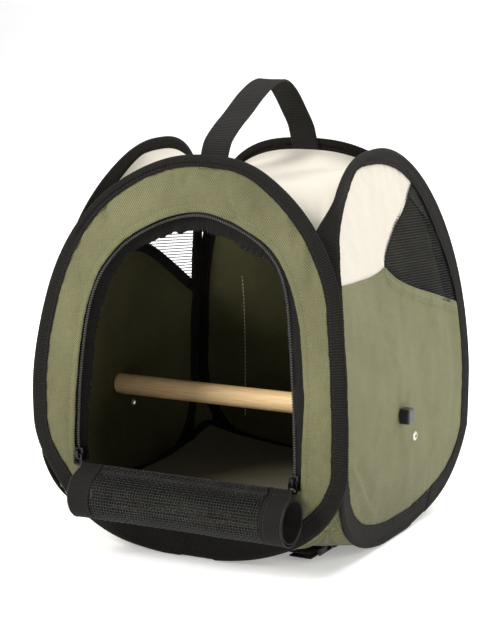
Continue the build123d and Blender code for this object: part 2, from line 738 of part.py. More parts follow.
with BuildPart() as buckle_prong:
    with BuildSketch(Plane.XY.offset(BZ)):
        with Locations((BUCKLE_X, BUCKLE_Y + 0.5 + 6.5)):
            RectangleRounded(BW, 13, 3)
        with Locations((BUCKLE_X, BUCKLE_Y + 0.5 + 8.0)):
            Rectangle(20.6, 3.2, mode=Mode.SUBTRACT)
    extrude(amount=BT)
    with BuildSketch(Plane.XY.offset(BZ + 2.1)):
        with Locations((BUCKLE_X, BUCKLE_Y - 6)):
            Rectangle(2.4, 14)
        for s in (-1, 1):
            with BuildLine():
                Polyline((BUCKLE_X + s * 8.6, BUCKLE_Y + 2), (BUCKLE_X + s * 8.6, BUCKLE_Y - 5.4),
                         (BUCKLE_X + s * 10.1, BUCKLE_Y - 6.0), (BUCKLE_X + s * 10.1, BUCKLE_Y - 9.4),
                         (BUCKLE_X + s * 8.4, BUCKLE_Y - 12.4), (BUCKLE_X + s * 6.4, BUCKLE_Y - 12.4),
                         (BUCKLE_X + s * 6.4, BUCKLE_Y + 2), close=True)
            make_face()
    extrude(amount=BT - 4.2)
    for z in (BZ - 1, BAR_Z1):
        with BuildSketch(Plane.XY.offset(z)):
            with Locations((BUCKLE_X, BUCKLE_Y + 12.9)):
                Rectangle(20.6, 6.6)
        extrude(amount=BAR_Z0 - BZ + 1 if z < BZ else BT, mode=Mode.SUBTRACT)
buckle_prong.part.label = "buckle_prong"
export_step(buckle_prong.part, "parts/buckle_prong.step")

# the strap from the base's front seam, folded round the socket's bar
SOCKET_BAR = BUCKLE_Y - BL + 2.6         # inner edge of the socket's bar
with BuildPart() as fold_strap_front:
    with BuildSketch(Plane.YZ.offset(BUCKLE_X - 10)):
        with BuildLine():
            Polyline((-101.0, 9.4), (-94.0, 8.0), (SOCKET_BAR + 1.6, 7.8), (SOCKET_BAR + 1.6, 2.8), (-96.0, 2.8),
                     (-96.0, 4.0), (SOCKET_BAR + 0.4, 4.0), (SOCKET_BAR + 0.4, 6.6), (-94.5, 6.8), (-101.0, 8.2), close=True)
        make_face()
    extrude(amount=20)
fold_strap_front.part.label = "fold_strap_front"
export_step(fold_strap_front.part, "parts/fold_strap_front.step")

# the free end, folded round the prong's bar
PRONG_BAR = BUCKLE_Y + 10.1              # inner edge of the prong's bar
with BuildPart() as fold_strap_rear:
    with BuildSketch(Plane.YZ.offset(BUCKLE_X - 10)):
        with BuildLine():
            Polyline((0.0, 1.4), (-18.0, 6.4), (-34.0, 7.8), (PRONG_BAR - 1.6, 7.8), (PRONG_BAR - 1.6, 2.8), (-36.0, 2.8),
                     (-36.0, 4.0), (PRONG_BAR - 0.4, 4.0), (PRONG_BAR - 0.4, 6.6), (-35.0, 6.6), (-18.0, 5.2), (0.0, 0.2), close=True)
        make_face()
    extrude(amount=20)
fold_strap_rear.part.label = "fold_strap_rear"
export_step(fold_strap_rear.part, "parts/fold_strap_rear.step")
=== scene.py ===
import math

import bpy
import numpy as np
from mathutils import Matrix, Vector
from mathutils.geometry import delaunay_2d_cdt


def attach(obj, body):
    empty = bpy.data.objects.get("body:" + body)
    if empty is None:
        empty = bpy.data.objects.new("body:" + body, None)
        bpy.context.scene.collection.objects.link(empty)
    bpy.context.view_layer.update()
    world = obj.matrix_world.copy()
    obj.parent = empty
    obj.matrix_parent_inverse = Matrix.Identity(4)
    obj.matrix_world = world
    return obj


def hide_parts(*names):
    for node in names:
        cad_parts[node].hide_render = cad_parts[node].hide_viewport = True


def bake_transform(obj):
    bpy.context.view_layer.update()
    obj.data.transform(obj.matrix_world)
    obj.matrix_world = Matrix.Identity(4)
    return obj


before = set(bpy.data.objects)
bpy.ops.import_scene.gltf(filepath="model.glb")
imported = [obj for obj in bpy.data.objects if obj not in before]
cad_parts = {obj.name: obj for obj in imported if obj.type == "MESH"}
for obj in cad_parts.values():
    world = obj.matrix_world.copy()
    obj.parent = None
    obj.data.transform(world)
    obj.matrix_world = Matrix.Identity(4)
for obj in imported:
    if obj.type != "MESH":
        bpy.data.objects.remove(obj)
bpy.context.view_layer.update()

# Shapes are worked out in millimetres, in the frame of the CAD, and turned into metres when a mesh is made.
FINE = 1.0      # coarser cloth while trying things

# ------------------------------------------------------------------ dimensions shared with the CAD
HOOP_H, HALF_W, HALF_D, Z_WIDE = 318.0, 136.0, 135.0, 103.0
M_TOP, M_BOT, FOOT = 2.58, 2.45, 22.0
TAPE_T, TAPE_PLY = 3.2, 0.8
PANEL_IN = 7.0
CLOTH_D, CLOTH_T, NET_T = 1.0, 1.2, 0.6
SILL, ARCH_FOOT = 68.0, 68.2
ROLL_Y, ROLL_Z, ROLL_R = -155.2, 50.0, 19.5
ROLL_X0, ROLL_X1, CUFF_L, CUFF_R = -82.5, 105.0, 18.0, 17.0
PERCH_Y, PERCH_Z, PERCH_R = -13.0, 107.0, 8.75
SWING_Z, STRAP_W, STRAP_T = 330.0, 25.0, 2.2
BUCKLE_X, BUCKLE_Y = 84.0, -58.0
SEAM = [(-150, 226.0), (-106, 225.3), (-78, 224.4), (-49, 224.0), (-30, 225.6), (-19, 228.0)]
HEM_R = [(-19, 228.0), (-4, 218.4), (13, 210.8), (35, 203.2), (64, 195.0), (95, 186.0), (124, 177.0), (150, 169.0)]
HEM_L = [(-19, 228.0), (-4, 226.6), (12, 223.6), (32, 216.0), (60, 202.2), (95, 183.6), (124, 168.0), (150, 154.0)]
DIAG = [(-19, 228.0), (-15, 234.0), (-6, 241.7), (5, 249.2), (18.5, 257.0), (36, 266.4), (51, 275.4), (63, 284.7), (84, 303.0)]
# how each hoop's outline differs from the plain curve, every 22.5 degrees from +u over the top
OFFS = {
    "front": [8.1, 5.6, -2.6, -6.3, -0.0, -0.8, 3.2, 5.1, 5.0, -4.8, -3.4, 0.1, 1.0, -0.7, 0.8, 4.8],
    "back": [0.3, -0.4, -0.2, 0.1, 0.0, -2.5, -5.0, -2.0, 0.2, -0.3, 0.2, 0.1, 0.0, 0.1, 0.3, -0.2],
    "left": [-1.5, -2.2, -3.2, -2.0, 3.2, -1.3, -1.5, -1.5, -1.0, -0.5, -0.2, 0.0, 0.1, -0.1, -0.4, -0.9],
    "right": [-2.1, 2.1, 3.3, 2.3, 0.7, -3.9, -1.5, -1.2, -0.6, -0.3, -0.6, -0.6, -0.1, 1.0, 4.3, 1.1],
}
LEAN = 13.5


def n_fb(z):
    z = np.asarray(z, float)
    up = np.maximum(z - 115.0, 0) / (HOOP_H - 115.0)
    dn = np.maximum(60.0 - z, 0) / 60.0
    return HALF_D - 50.0 * up ** 1.95 - 8.0 * dn ** 1.3


def n_lr(z):
    z = np.asarray(z, float)
    up = np.maximum(z - 115.0, 0) / (HOOP_H - 115.0)
    dn = np.maximum(70.0 - z, 0) / 70.0
    return HALF_W - 37.0 * up ** 1.6 - 11.0 * dn ** 1.1


def lean(u, z):
    """How far the right hoop's front leg turns in above the roof's corner: most at its rim."""
    a = smooth01((z - 150.0) / 70.0) * (1 - smooth01((z - 257.0) / 34.0)) * smooth01((-u - 40.0) / 30.0)
    need = a > 1e-3
    out = np.zeros(u.shape)
    if need.any():
        out[need] = LEAN * a[need] * (1 - smooth01(near_line(OUTLINE["right"][::8], u[need], z[need])[0] / 12.5))
    return out


def place(side, u, z, d):
    """The point at u along a wall, height z, depth d under its outer face."""
    u, z, d = np.broadcast_arrays(np.asarray(u, float), np.asarray(z, float), np.asarray(d, float))
    if side == "front":
        return np.stack([u, -(n_fb(z) - d), z], -1)
    if side == "back":
        return np.stack([u, n_fb(z) - d, z], -1)
    if side == "left":
        return np.stack([-(n_lr(z) - d), u, z], -1)
    return np.stack([n_lr(z) - d - lean(u, z), u, z], -1)


OUT = {"front": np.array([0, -1.0, 0]), "back": np.array([0, 1.0, 0]), "left": np.array([-1.0, 0, 0]), "right": np.array([1.0, 0, 0])}


# ------------------------------------------------------------------ small maths
def periodic_spline(vals):
    n = len(vals)
    h = 2 * math.pi / n
    A = np.zeros((n, n))
    b = np.zeros(n)
    for i in range(n):
        A[i, i] = 4
        A[i, (i - 1) % n] += 1
        A[i, (i + 1) % n] += 1
        b[i] = 6 * (vals[(i - 1) % n] - 2 * vals[i] + vals[(i + 1) % n]) / h ** 2
    m = np.linalg.solve(A, b)
    v = np.array(vals, float)

    def f(t):
        t = np.mod(t, 2 * math.pi) / h
        i = np.floor(t).astype(int) % n
        f1 = t - np.floor(t)
        j = (i + 1) % n
        a, c = 1 - f1, f1
        return a * v[i] + c * v[j] + h * h / 6 * ((a ** 3 - a) * m[i] + (c ** 3 - c) * m[j])
    return f


def smooth01(x):
    x = np.clip(x, 0, 1)
    return x * x * (3 - 2 * x)


def resample(p, n=None, step=None, closed=False):
    p = np.asarray(p, float)
    if closed:
        p = np.vstack([p, p[:1]])
    d = np.concatenate([[0], np.cumsum(np.linalg.norm(np.diff(p, axis=0), axis=1))])
    if n is None:
        n = max(3, int(round(d[-1] / step)) + (0 if closed else 1))
    s = np.linspace(0, d[-1], n + 1)[:-1] if closed else np.linspace(0, d[-1], n)
    return np.stack([np.interp(s, d, p[:, k]) for k in range(p.shape[1])], 1), s, d[-1]


def smooth_open(p, step, rounds=6):
    """An open line resampled evenly and rounded off, its ends kept."""
    q, s, L = resample(p, step=step)
    for _ in range(rounds):
        q[1:-1] = q[1:-1] * 0.5 + (q[:-2] + q[2:]) * 0.25
    return q


def catmull(p, per):
    """A smooth open curve through points, per samples a span."""
    p = np.asarray(p, float)
    e = np.vstack([2 * p[0] - p[1], p, 2 * p[-1] - p[-2]])
    out = []
    for i in range(len(p) - 1):
        a, b, c, d = e[i:i + 4]
        for t in np.linspace(0, 1, per, endpoint=False):
            out.append(0.5 * (2 * b + (c - a) * t + (2 * a - 5 * b + 4 * c - d) * t * t + (3 * b - 3 * c + d - a) * t ** 3))
    out.append(p[-1])
    return np.array(out)


def normals2(p, closed=False):
    """Unit normals to the right of the line's direction."""
    if closed:
        t = np.roll(p, -1, 0) - np.roll(p, 1, 0)
    else:
        t = np.gradient(p, axis=0)
    t /= np.linalg.norm(t, axis=1)[:, None] + 1e-12
    return np.stack([t[:, 1], -t[:, 0]], 1)


def lattice(ix, iy, seed):
    v = np.sin(ix * 127.1 + iy * 311.7 + seed * 74.7) * 43758.5453
    return (v - np.floor(v)) * 2 - 1


def vnoise(x, y, seed=0.0):
    """Smooth noise from -1 to 1 with cells one unit wide."""
    x, y = np.broadcast_arrays(np.asarray(x, float), np.asarray(y, float))
    ix, iy = np.floor(x), np.floor(y)
    fx, fy = x - ix, y - iy
    fx, fy = fx ** 3 * (fx * (fx * 6 - 15) + 10), fy ** 3 * (fy * (fy * 6 - 15) + 10)
    a, b = lattice(ix, iy, seed), lattice(ix + 1, iy, seed)
    c, d = lattice(ix, iy + 1, seed), lattice(ix + 1, iy + 1, seed)
    return (a * (1 - fx) + b * fx) * (1 - fy) + (c * (1 - fx) + d * fx) * fy


def fbm(x, y, seed=0.0, octaves=3):
    v, a, t = 0.0, 1.0, 0.0
    for k in range(octaves):
        v = v + a * vnoise(x * 2 ** k + 11.3 * k, y * 2 ** k - 7.7 * k, seed + k)
        t += a
        a *= 0.5
    return v / t


def ridge(u, z, pts, width, amp, ends=12.0):
    """A soft fold along a line: its height at each point, less towards the line's ends."""
    p = np.asarray(pts, float)
    best = np.full(np.shape(u), 1e9)
    along = np.zeros(np.shape(u))
    s0 = 0.0
    total = np.linalg.norm(np.diff(p, axis=0), axis=1).sum()
    for a, b in zip(p[:-1], p[1:]):
        L = np.linalg.norm(b - a)
        t = np.clip(((u - a[0]) * (b[0] - a[0]) + (z - a[1]) * (b[1] - a[1])) / L ** 2, 0, 1)
        dist = np.hypot(u - a[0] - t * (b[0] - a[0]), z - a[1] - t * (b[1] - a[1]))
        near = dist < best
        best = np.where(near, dist, best)
        along = np.where(near, s0 + t * L, along)
        s0 += L
    fade = smooth01(along / ends) * smooth01((total - along) / ends)
    return amp * np.exp(-(best / width) ** 2) * (0.25 + 0.75 * fade)


def inside(poly, x, y):
    """Which points lie inside a closed polygon."""
    poly = np.asarray(poly, float)
    x, y = np.asarray(x, float), np.asarray(y, float)
    res = np.zeros(x.shape, bool)
    for (x0, y0), (x1, y1) in zip(poly, np.roll(poly, -1, 0)):
        if y0 == y1:
            continue
        cross = ((y0 > y) != (y1 > y)) & (x < (x1 - x0) * (y - y0) / (y1 - y0) + x0)
        res ^= cross
    return res


def near_line(pts, x, y, closed=True):
    """Distance to a line, and how far along it the nearest point is."""
    p = np.asarray(pts, float)
    q = np.roll(p, -1, 0) if closed else p[1:]
    p0 = p if closed else p[:-1]
    best = np.full(x.shape, 1e9)
    along = np.zeros(x.shape)
    s0 = 0.0
    for a, b in zip(p0, q):
        L = math.hypot(b[0] - a[0], b[1] - a[1])
        if L < 1e-9:
            continue
        t = np.clip(((x - a[0]) * (b[0] - a[0]) + (y - a[1]) * (b[1] - a[1])) / L ** 2, 0, 1)
        d = np.hypot(x - a[0] - t * (b[0] - a[0]), y - a[1] - t * (b[1] - a[1]))
        m = d < best
        best = np.where(m, d, best)
        along = np.where(m, s0 + t * L, along)
        s0 += L
    return best, along


# ------------------------------------------------------------------ the hoops' outlines
def outline(side):
    """A hoop's closed outline seen square on, from the foot round by +u over the top: evenly spaced points."""
    # at a corner one hoop passes outside the other: the front one over both, the right one over the back one
    half, wall = (HALF_W, n_lr) if side in ("front", "back") else (HALF_D, n_fb)
    past = {"front": (6.5, 6.5), "back": (6.5, -TAPE_T - 0.15), "left": (-TAPE_T - 0.15, -TAPE_T - 0.15), "right": (-TAPE_T - 0.15, 6.5)}[side]
    t = np.linspace(-math.pi / 2, 1.5 * math.pi, 2881)[:-1]
    c, s = np.cos(t), np.sin(t)
    m = np.where(s >= 0, M_TOP, M_BOT)
    u = half * np.sign(c) * np.abs(c) ** (2 / m)
    z = np.where(s >= 0, Z_WIDE + (HOOP_H - Z_WIDE) * np.abs(s) ** (2 / m), Z_WIDE * (1 - np.abs(s) ** (2 / m)))
    p = np.stack([u, z], 1)
    near_foot = np.abs(np.mod(t - 1.5 * math.pi + math.pi, 2 * math.pi) - math.pi)
    off = periodic_spline(OFFS[side])(t) * smooth01((near_foot - 0.12) / 0.5)
    p = p + normals2(p, True) * off[:, None]
    lim = wall(p[:, 1]) + np.where(p[:, 0] < 0, past[0], past[1])
    a = np.abs(p[:, 0])
    a = lim - 0.8 * np.logaddexp(0, -(a - lim) / 0.8)
    p[:, 0] = np.sign(p[:, 0]) * np.maximum(a, 0)
    a = np.abs(p[:, 0])
    low = (a < 44) & (p[:, 1] < 20)
    p[:, 1] = np.where(low, np.where(a > FOOT, np.maximum(p[:, 1] - 0.5 * np.minimum(1, (44 - a) / 20), 0), 0), np.maximum(p[:, 1], 0))
    q, s, L = resample(p, n=1440, closed=True)
    for _ in range(8):
        k = q * 0.5 + (np.roll(q, 1, 0) + np.roll(q, -1, 0)) * 0.25
        q = np.where((np.abs(q[:, :1]) < FOOT + 4) & (q[:, 1:] < 20), q, k)
    return q


OUTLINE = {s: outline(s) for s in ("front", "back", "left", "right")}


def tape_w(side, p):
    """How wide the tape lies on a hoop's face at each point of its outline."""
    u, z = p[:, 0], p[:, 1]
    up = np.clip((z - Z_WIDE) / (HOOP_H - Z_WIDE), 0, 1.1) ** 2
    w = 13.5 + 6.5 * (np.maximum(Z_WIDE - z, 0) / Z_WIDE) ** 2
    if side == "front":
        return w - 4.2 * up + 5.0 * (1 - smooth01((z - 8.0) / 36.0)) * (1 - smooth01((np.abs(u) - 60.0) / 30.0))
    if side == "back":
        return w - 2.5 * up
    if side == "left":
        return w - 0.3 * up + 8.0 * smooth01((-u - 22.0) / 40.0) * smooth01((z - 205.0) / 25.0)
    rear = smooth01(u / 50.0)
    return w - 1.2 * up + rear * (1.8 + 8.2 * np.exp(-((z - 256.0) / 50.0) ** 2)) - 4.2 * np.exp(-((u + 36.0) / 26.0) ** 2) * (z > 200)


def inset(side, w, n=None):
    """The outline moved in by w."""
    p = OUTLINE[side]
    nrm = normals2(p, True)
    ww = w(p) if callable(w) else np.full(len(p), float(w))
    q = p - nrm * ww[:, None]
    if n:
        q, _, _ = resample(q, n=n, closed=True)
    return q


# ------------------------------------------------------------------ mesh making
def make_mesh(name, co, quads=None, tris=None, uv=None, mats=(), midx_q=None, midx_t=None, smooth=True):
    co = np.asarray(co, float).reshape(-1, 3) * 0.001
    quads = np.zeros((0, 4), int) if quads is None else np.asarray(quads, int).reshape(-1, 4)
    tris = np.zeros((0, 3), int) if tris is None else np.asarray(tris, int).reshape(-1, 3)
    me = bpy.data.meshes.new(name)
    me.vertices.add(len(co))
    me.vertices.foreach_set("co", co.astype(np.float32).ravel())
    loops = np.concatenate([quads.ravel(), tris.ravel()]).astype(np.int32)
    me.loops.add(len(loops))
    me.loops.foreach_set("vertex_index", loops)
    nf = len(quads) + len(tris)
    me.polygons.add(nf)
    starts = np.concatenate([np.arange(len(quads)) * 4, len(quads) * 4 + np.arange(len(tris)) * 3]).astype(np.int32)
    totals = np.concatenate([np.full(len(quads), 4), np.full(len(tris), 3)]).astype(np.int32)
    me.polygons.foreach_set("loop_start", starts)
    me.polygons.foreach_set("loop_total", totals)
    if midx_q is not None or midx_t is not None:
        mi = np.concatenate([np.zeros(len(quads), int) if midx_q is None else np.asarray(midx_q, int),
                             np.zeros(len(tris), int) if midx_t is None else np.asarray(midx_t, int)]).astype(np.int32)
        me.polygons.foreach_set("material_index", mi)
    me.polygons.foreach_set("use_smooth", np.full(nf, bool(smooth)))
    if uv is not None:
        layer = me.uv_layers.new(name="UVMap")
        layer.data.foreach_set("uv", np.asarray(uv, np.float32).reshape(-1, 2)[loops].ravel())
    me.update(calc_edges=True)
    me.validate(clean_customdata=False)
    for m in mats:
        me.materials.append(m)
    ob = bpy.data.objects.new(name, me)
    bpy.context.scene.collection.objects.link(ob)
    return ob


def grid_faces(n, m, closed_n=False, closed_m=False, base=0):
    """Quads of a grid of n by m points, rows along the first index."""
    i = np.arange(n if closed_n else n - 1)
    j = np.arange(m if closed_m else m - 1)
    I, J = np.meshgrid(i, j, indexing="ij")
    I2, J2 = (I + 1) % n, (J + 1) % m
    return (np.stack([I * m + J, I2 * m + J, I2 * m + J2, I * m + J2], -1) + base).reshape(-1, 4)


class Pile:
    """Collects parts of one mesh."""

    def __init__(self):
        self.co, self.q, self.t, self.uv, self.mq, self.mt, self.n = [], [], [], [], [], [], 0

    def add(self, co, quads=None, tris=None, uv=None, mat=0):
        co = np.asarray(co, float).reshape(-1, 3)
        self.co.append(co)
        self.uv.append(np.zeros((len(co), 2)) if uv is None else np.asarray(uv, float).reshape(-1, 2))
        if quads is not None and len(quads):
            self.q.append(np.asarray(quads, int) + self.n)
            self.mq.append(np.full(len(quads), mat))
        if tris is not None and len(tris):
            self.t.append(np.asarray(tris, int) + self.n)
            self.mt.append(np.full(len(tris), mat))
        self.n += len(co)

    def make(self, name, mats, smooth=True):
        return make_mesh(name, np.vstack(self.co), np.vstack(self.q) if self.q else None, np.vstack(self.t) if self.t else None,
                         np.vstack(self.uv), mats, np.concatenate(self.mq) if self.mq else None,
                         np.concatenate(self.mt) if self.mt else None, smooth)


def tube(paths, across, up, ra, rb, sides=4, caps=True):
    """Tubes along several lines of the same number of points. across and up are the section's directions; ra and rb its half sizes."""
    P = np.asarray(paths, float)
    if P.ndim == 2:
        P = P[None]
    K, L, _ = P.shape
    A = np.broadcast_to(across, P.shape)
    B = np.broadcast_to(up, P.shape)
    ra = np.broadcast_to(np.asarray(ra, float), (K, L))[..., None, None]
    rb = np.broadcast_to(np.asarray(rb, float), (K, L))[..., None, None]
    th = np.arange(sides) * 2 * math.pi / sides + math.pi / sides * (sides == 4)
    f = math.sqrt(2) if sides == 4 else 1.0
    ring = P[:, :, None, :] + f * (A[:, :, None, :] * (ra * np.cos(th)[None, None, :, None]) + B[:, :, None, :] * (rb * np.sin(th)[None, None, :, None]))
    co = ring.reshape(-1, 3)
    g = grid_faces(L, sides, closed_m=True)
    quads = (g[None] + (np.arange(K) * L * sides)[:, None, None]).reshape(-1, 4)
    if caps and sides == 4:
        s = np.arange(K)[:, None] * L * sides
        c0 = s + np.array([[0, 1, 2, 3]])
        c1 = s + (L - 1) * sides + np.array([[3, 2, 1, 0]])
        quads = np.vstack([quads, c0, c1])
    return co, quads


def frames3(p, closed=False, ref=None):
    """Unit tangents and two unit directions across a 3-D line, turned towards ref."""
    p = np.asarray(p, float)
    t = (np.roll(p, -1, 0) - np.roll(p, 1, 0)) if closed else np.gradient(p, axis=0)
    t /= np.linalg.norm(t, axis=1)[:, None] + 1e-12
    ref = np.broadcast_to(np.array([0, 0, 1.0]) if ref is None else np.asarray(ref, float), p.shape)
    b = ref - t * (ref * t).sum(1)[:, None]
    b /= np.linalg.norm(b, axis=1)[:, None] + 1e-12
    a = np.cross(b, t)
    return t, a, b


def stitches(pile, line, out, length=2.7, gap=0.75, r=0.27, lift=0.12, mat=0, wob=0.12):
    """A row of sewn stitches along a 3-D line. out is the way the cloth faces, one for each point or one for all."""
    line = np.asarray(line, float)
    q, s, L = resample(np.hstack([line, np.broadcast_to(out, line.shape)]), step=0.45)
    pitch = length + gap
    n = int(L // pitch)
    if n < 1:
        return
    s0 = (L - n * pitch) / 2 + gap / 2
    k = 5
    a = s0 + np.arange(n)[:, None] * pitch + np.linspace(0, length, k)[None, :]
    S = np.stack([np.interp(a, s, q[:, c]) for c in range(6)], -1)
    P, O = S[..., :3], S[..., 3:]
    O = O / np.linalg.norm(O, axis=-1)[..., None]
    T = np.gradient(P, axis=1)
    T /= np.linalg.norm(T, axis=-1)[..., None]
    A = np.cross(T, O)
    prof = np.array([0.25, 0.85, 1.0, 0.85, 0.25])
    h = lift + 0.1 * np.array([-2.0, 0.4, 1.0, 0.4, -2.0])
    side = wob * np.sin(np.arange(n) * 2.4)[:, None]
    P = P + O * h[None, :, None] + A * (side * np.linspace(-1, 1, k)[None, :])[..., None]
    co, quads = tube(P, A, O, r * prof[None, :] * np.ones((n, 1)), r * 0.8 * prof[None, :] * np.ones((n, 1)), sides=6, caps=False)
    pile.add(co, quads, mat=mat)


# ------------------------------------------------------------------ materials
class Mat:
    """Small helper that wires a procedural material."""

    def __init__(self, name, **sockets):
        self.m = bpy.data.materials.new(name)
        self.m.use_nodes = True
        self.nt = self.m.node_tree
        self.bsdf = self.nt.nodes["Principled BSDF"]
        for k, v in sockets.items():
            self.bsdf.inputs[k.replace("_", " ")].default_value = v
        self.uv = self.node("ShaderNodeTexCoord").outputs["UV"]
        self.obj = self.nt.nodes[-1].outputs["Object"]

    def node(self, kind, **props):
        n = self.nt.nodes.new(kind)
        for k, v in props.items():
            setattr(n, k, v)
        return n

    def put(self, sock, v):
        if hasattr(v, "is_output"):
            self.nt.links.new(v, sock)
        else:
            sock.default_value = v

    def math(self, op, a, b=None, c=None):
        n = self.node("ShaderNodeMath", operation=op)
        self.put(n.inputs[0], a)
        if b is not None:
            self.put(n.inputs[1], b)
        if c is not None:
            self.put(n.inputs[2], c)
        return n.outputs[0]

    def split(self, vec):
        n = self.node("ShaderNodeSeparateXYZ")
        self.put(n.inputs[0], vec)
        return n.outputs

    def join(self, x, y, z):
        n = self.node("ShaderNodeCombineXYZ")
        self.put(n.inputs[0], x)
        self.put(n.inputs[1], y)
        self.put(n.inputs[2], z)
        return n.outputs[0]

    def scaled(self, vec, s):
        n = self.node("ShaderNodeMapping")
        self.put(n.inputs["Vector"], vec)
        n.inputs["Scale"].default_value = s
        return n.outputs[0]

    def noise(self, vec, scale, detail=2.0, rough=0.5, dist=0.0):
        n = self.node("ShaderNodeTexNoise")
        self.put(n.inputs["Vector"], vec)
        n.inputs["Scale"].default_value = scale
        n.inputs["Detail"].default_value = detail
        n.inputs["Roughness"].default_value = rough
        n.inputs["Distortion"].default_value = dist
        return n.outputs["Fac"]

    def ramp(self, fac, *stops):
        n = self.node("ShaderNodeValToRGB")
        self.put(n.inputs[0], fac)
        e = n.color_ramp.elements
        while len(e) < len(stops):
            e.new(0.5)
        for el, (p, c) in zip(e, stops):
            el.position = p
            el.color = (*c, 1) if len(c) == 3 else c
        return n.outputs["Color"]

    def mix(self, fac, a, b, kind="MIX"):
        n = self.node("ShaderNodeMix", data_type="RGBA", blend_type=kind)
        self.put(n.inputs[0], fac)
        self.put(n.inputs[6], (*a, 1) if isinstance(a, tuple) else a)
        self.put(n.inputs[7], (*b, 1) if isinstance(b, tuple) else b)
        return n.outputs[2]

    def map(self, v, a, b, c, d):
        n = self.node("ShaderNodeMapRange")
        self.put(n.inputs[0], v)
        for i, x in enumerate((a, b, c, d)):
            n.inputs[1 + i].default_value = x
        return n.outputs[0]

    def bump(self, height, dist, strength=1.0, under=None):
        n = self.node("ShaderNodeBump")
        n.inputs["Strength"].default_value = strength
        n.inputs["Distance"].default_value = dist
        self.put(n.inputs["Height"], height)
        if under is not None:
            self.put(n.inputs["Normal"], under)
        return n.outputs[0]

    def color(self, v):
        self.put(self.bsdf.inputs["Base Color"], v)

    def rough(self, v):
        self.put(self.bsdf.inputs["Roughness"], v)

    def normal(self, v):
        self.put(self.bsdf.inputs["Normal"], v)


def woven(name, light, dark, pitch=0.95, sheen=0.25, rough=0.82, mottle=0.10, bump=0.00016):
    """Plain-weave cloth: yarns over and under, painted darker in the weave's hollows and lighter on its crests as
    painted shade and highlight, uneven yarns, and slow changes of tone.
    """
    m = Mat(name, Sheen_Weight=sheen, Sheen_Roughness=0.45, Specular_IOR_Level=0.22)
    x, y, _ = m.split(m.uv)
    wob = m.noise(m.uv, 160.0, 2.0)
    k = math.pi / (pitch * 0.001)
    sx = m.math("SINE", m.math("MULTIPLY_ADD", x, k, m.math("MULTIPLY", wob, 1.6)))
    sy = m.math("SINE", m.math("MULTIPLY_ADD", y, k, m.math("MULTIPLY", wob, 1.2)))
    over = m.math("MULTIPLY", sx, sy)
    warp = m.noise(m.join(m.math("MULTIPLY", x, 1.0), m.math("MULTIPLY", y, 0.12), 0.0), 900.0, 1.0)
    weft = m.noise(m.join(m.math("MULTIPLY", x, 0.12), m.math("MULTIPLY", y, 1.0), 0.3), 900.0, 1.0)
    yarn = m.math("ADD", warp, weft)
    h = m.math("MULTIPLY_ADD", over, 0.5, 0.5)
    # the colour follows the weave's height h: painted shade in the hollows between yarns, painted highlight on their
    # crests; the yarn noise and the slow mottle are the cloth's own uneven tone
    tone = m.math("MULTIPLY_ADD", h, 0.80, m.math("MULTIPLY_ADD", yarn, 0.22, -0.145))
    slow = m.noise(m.obj, 11.0, 3.0, 0.55)
    c = m.mix(tone, dark, light)
    c = m.mix(m.map(slow, 0.3, 0.7, 0.0, mottle), c, tuple(v * 0.72 for v in dark))
    m.color(c)
    m.rough(m.map(h, 0, 1, rough + 0.08, rough - 0.04))
    fuzz = m.noise(m.obj, 2600.0, 2.0)
    m.normal(m.bump(m.math("MULTIPLY_ADD", yarn, 0.35, m.math("MULTIPLY_ADD", fuzz, 0.25, h)), bump))
    return m.m


def ribbed(name, lo, hi, pitch, sheen=0.35, rough=0.62, bump=0.00010, fuzz_amt=0.25):
    """Ribbed tape, its colour lighter on the rib crests as a painted highlight: UV x runs along the tape in metres, y
    across it.
    """
    m = Mat(name, Sheen_Weight=sheen, Sheen_Roughness=0.35, Specular_IOR_Level=0.10)
    x, y, _ = m.split(m.uv)
    rib = m.math("MULTIPLY_ADD", m.math("COSINE", m.math("MULTIPLY", x, 2 * math.pi / (pitch * 0.001))), 0.5, 0.5)
    yarn = m.noise(m.join(m.math("MULTIPLY", x, 0.10), y, 0.0), 1500.0, 1.0)
    fine = m.noise(m.obj, 1900.0, 2.0)
    slow = m.noise(m.obj, 16.0, 2.0)
    # the colour follows the ribs: painted highlight on the rib crests; the yarn and slow noise are the tape's own
    # uneven tone
    f = m.math("MULTIPLY_ADD", yarn, 0.4, m.math("MULTIPLY_ADD", rib, 0.5, m.math("MULTIPLY", slow, 0.3)))
    m.color(m.mix(f, lo, hi))
    m.rough(m.map(fine, 0.3, 0.7, rough - 0.06, rough + 0.12))
    m.normal(m.bump(m.math("MULTIPLY_ADD", fine, fuzz_amt, m.math("ADD", rib, yarn)), bump))
    return m.m


def plastic(name, base, rough=0.32, coat=0.25, scratch=0.12):
    m = Mat(name, Coat_Weight=coat, Coat_Roughness=0.18, Specular_IOR_Level=0.35)
    n = m.noise(m.obj, 420.0, 3.0)
    s = m.noise(m.scaled(m.obj, (1.0, 1.0, 0.15)), 900.0, 2.0, 0.6, 0.4)
    g = m.noise(m.obj, 60.0, 2.0)
    m.color(m.mix(m.map(g, 0.3, 0.75, 0.0, 0.5), base, tuple(min(1.0, v * 1.9 + 0.004) for v in base)))
    m.rough(m.math("MULTIPLY_ADD", m.map(s, 0.4, 0.8, 0.0, 1.0), scratch, rough))
    m.normal(m.bump(n, 0.00004, 0.7))
    return m.m


def metal(name, base, rough=0.28, worn=None):
    m = Mat(name, Metallic=1.0)
    n = m.noise(m.obj, 700.0, 3.0)
    g = m.noise(m.obj, 120.0, 2.0)
    m.color(m.mix(m.map(g, 0.35, 0.7, 0.0, 1.0), base, worn or tuple(v * 0.75 for v in base)))
    m.rough(m.map(n, 0.3, 0.7, rough - 0.06, rough + 0.14))
    m.normal(m.bump(n, 0.00003, 0.6))
    return m.m


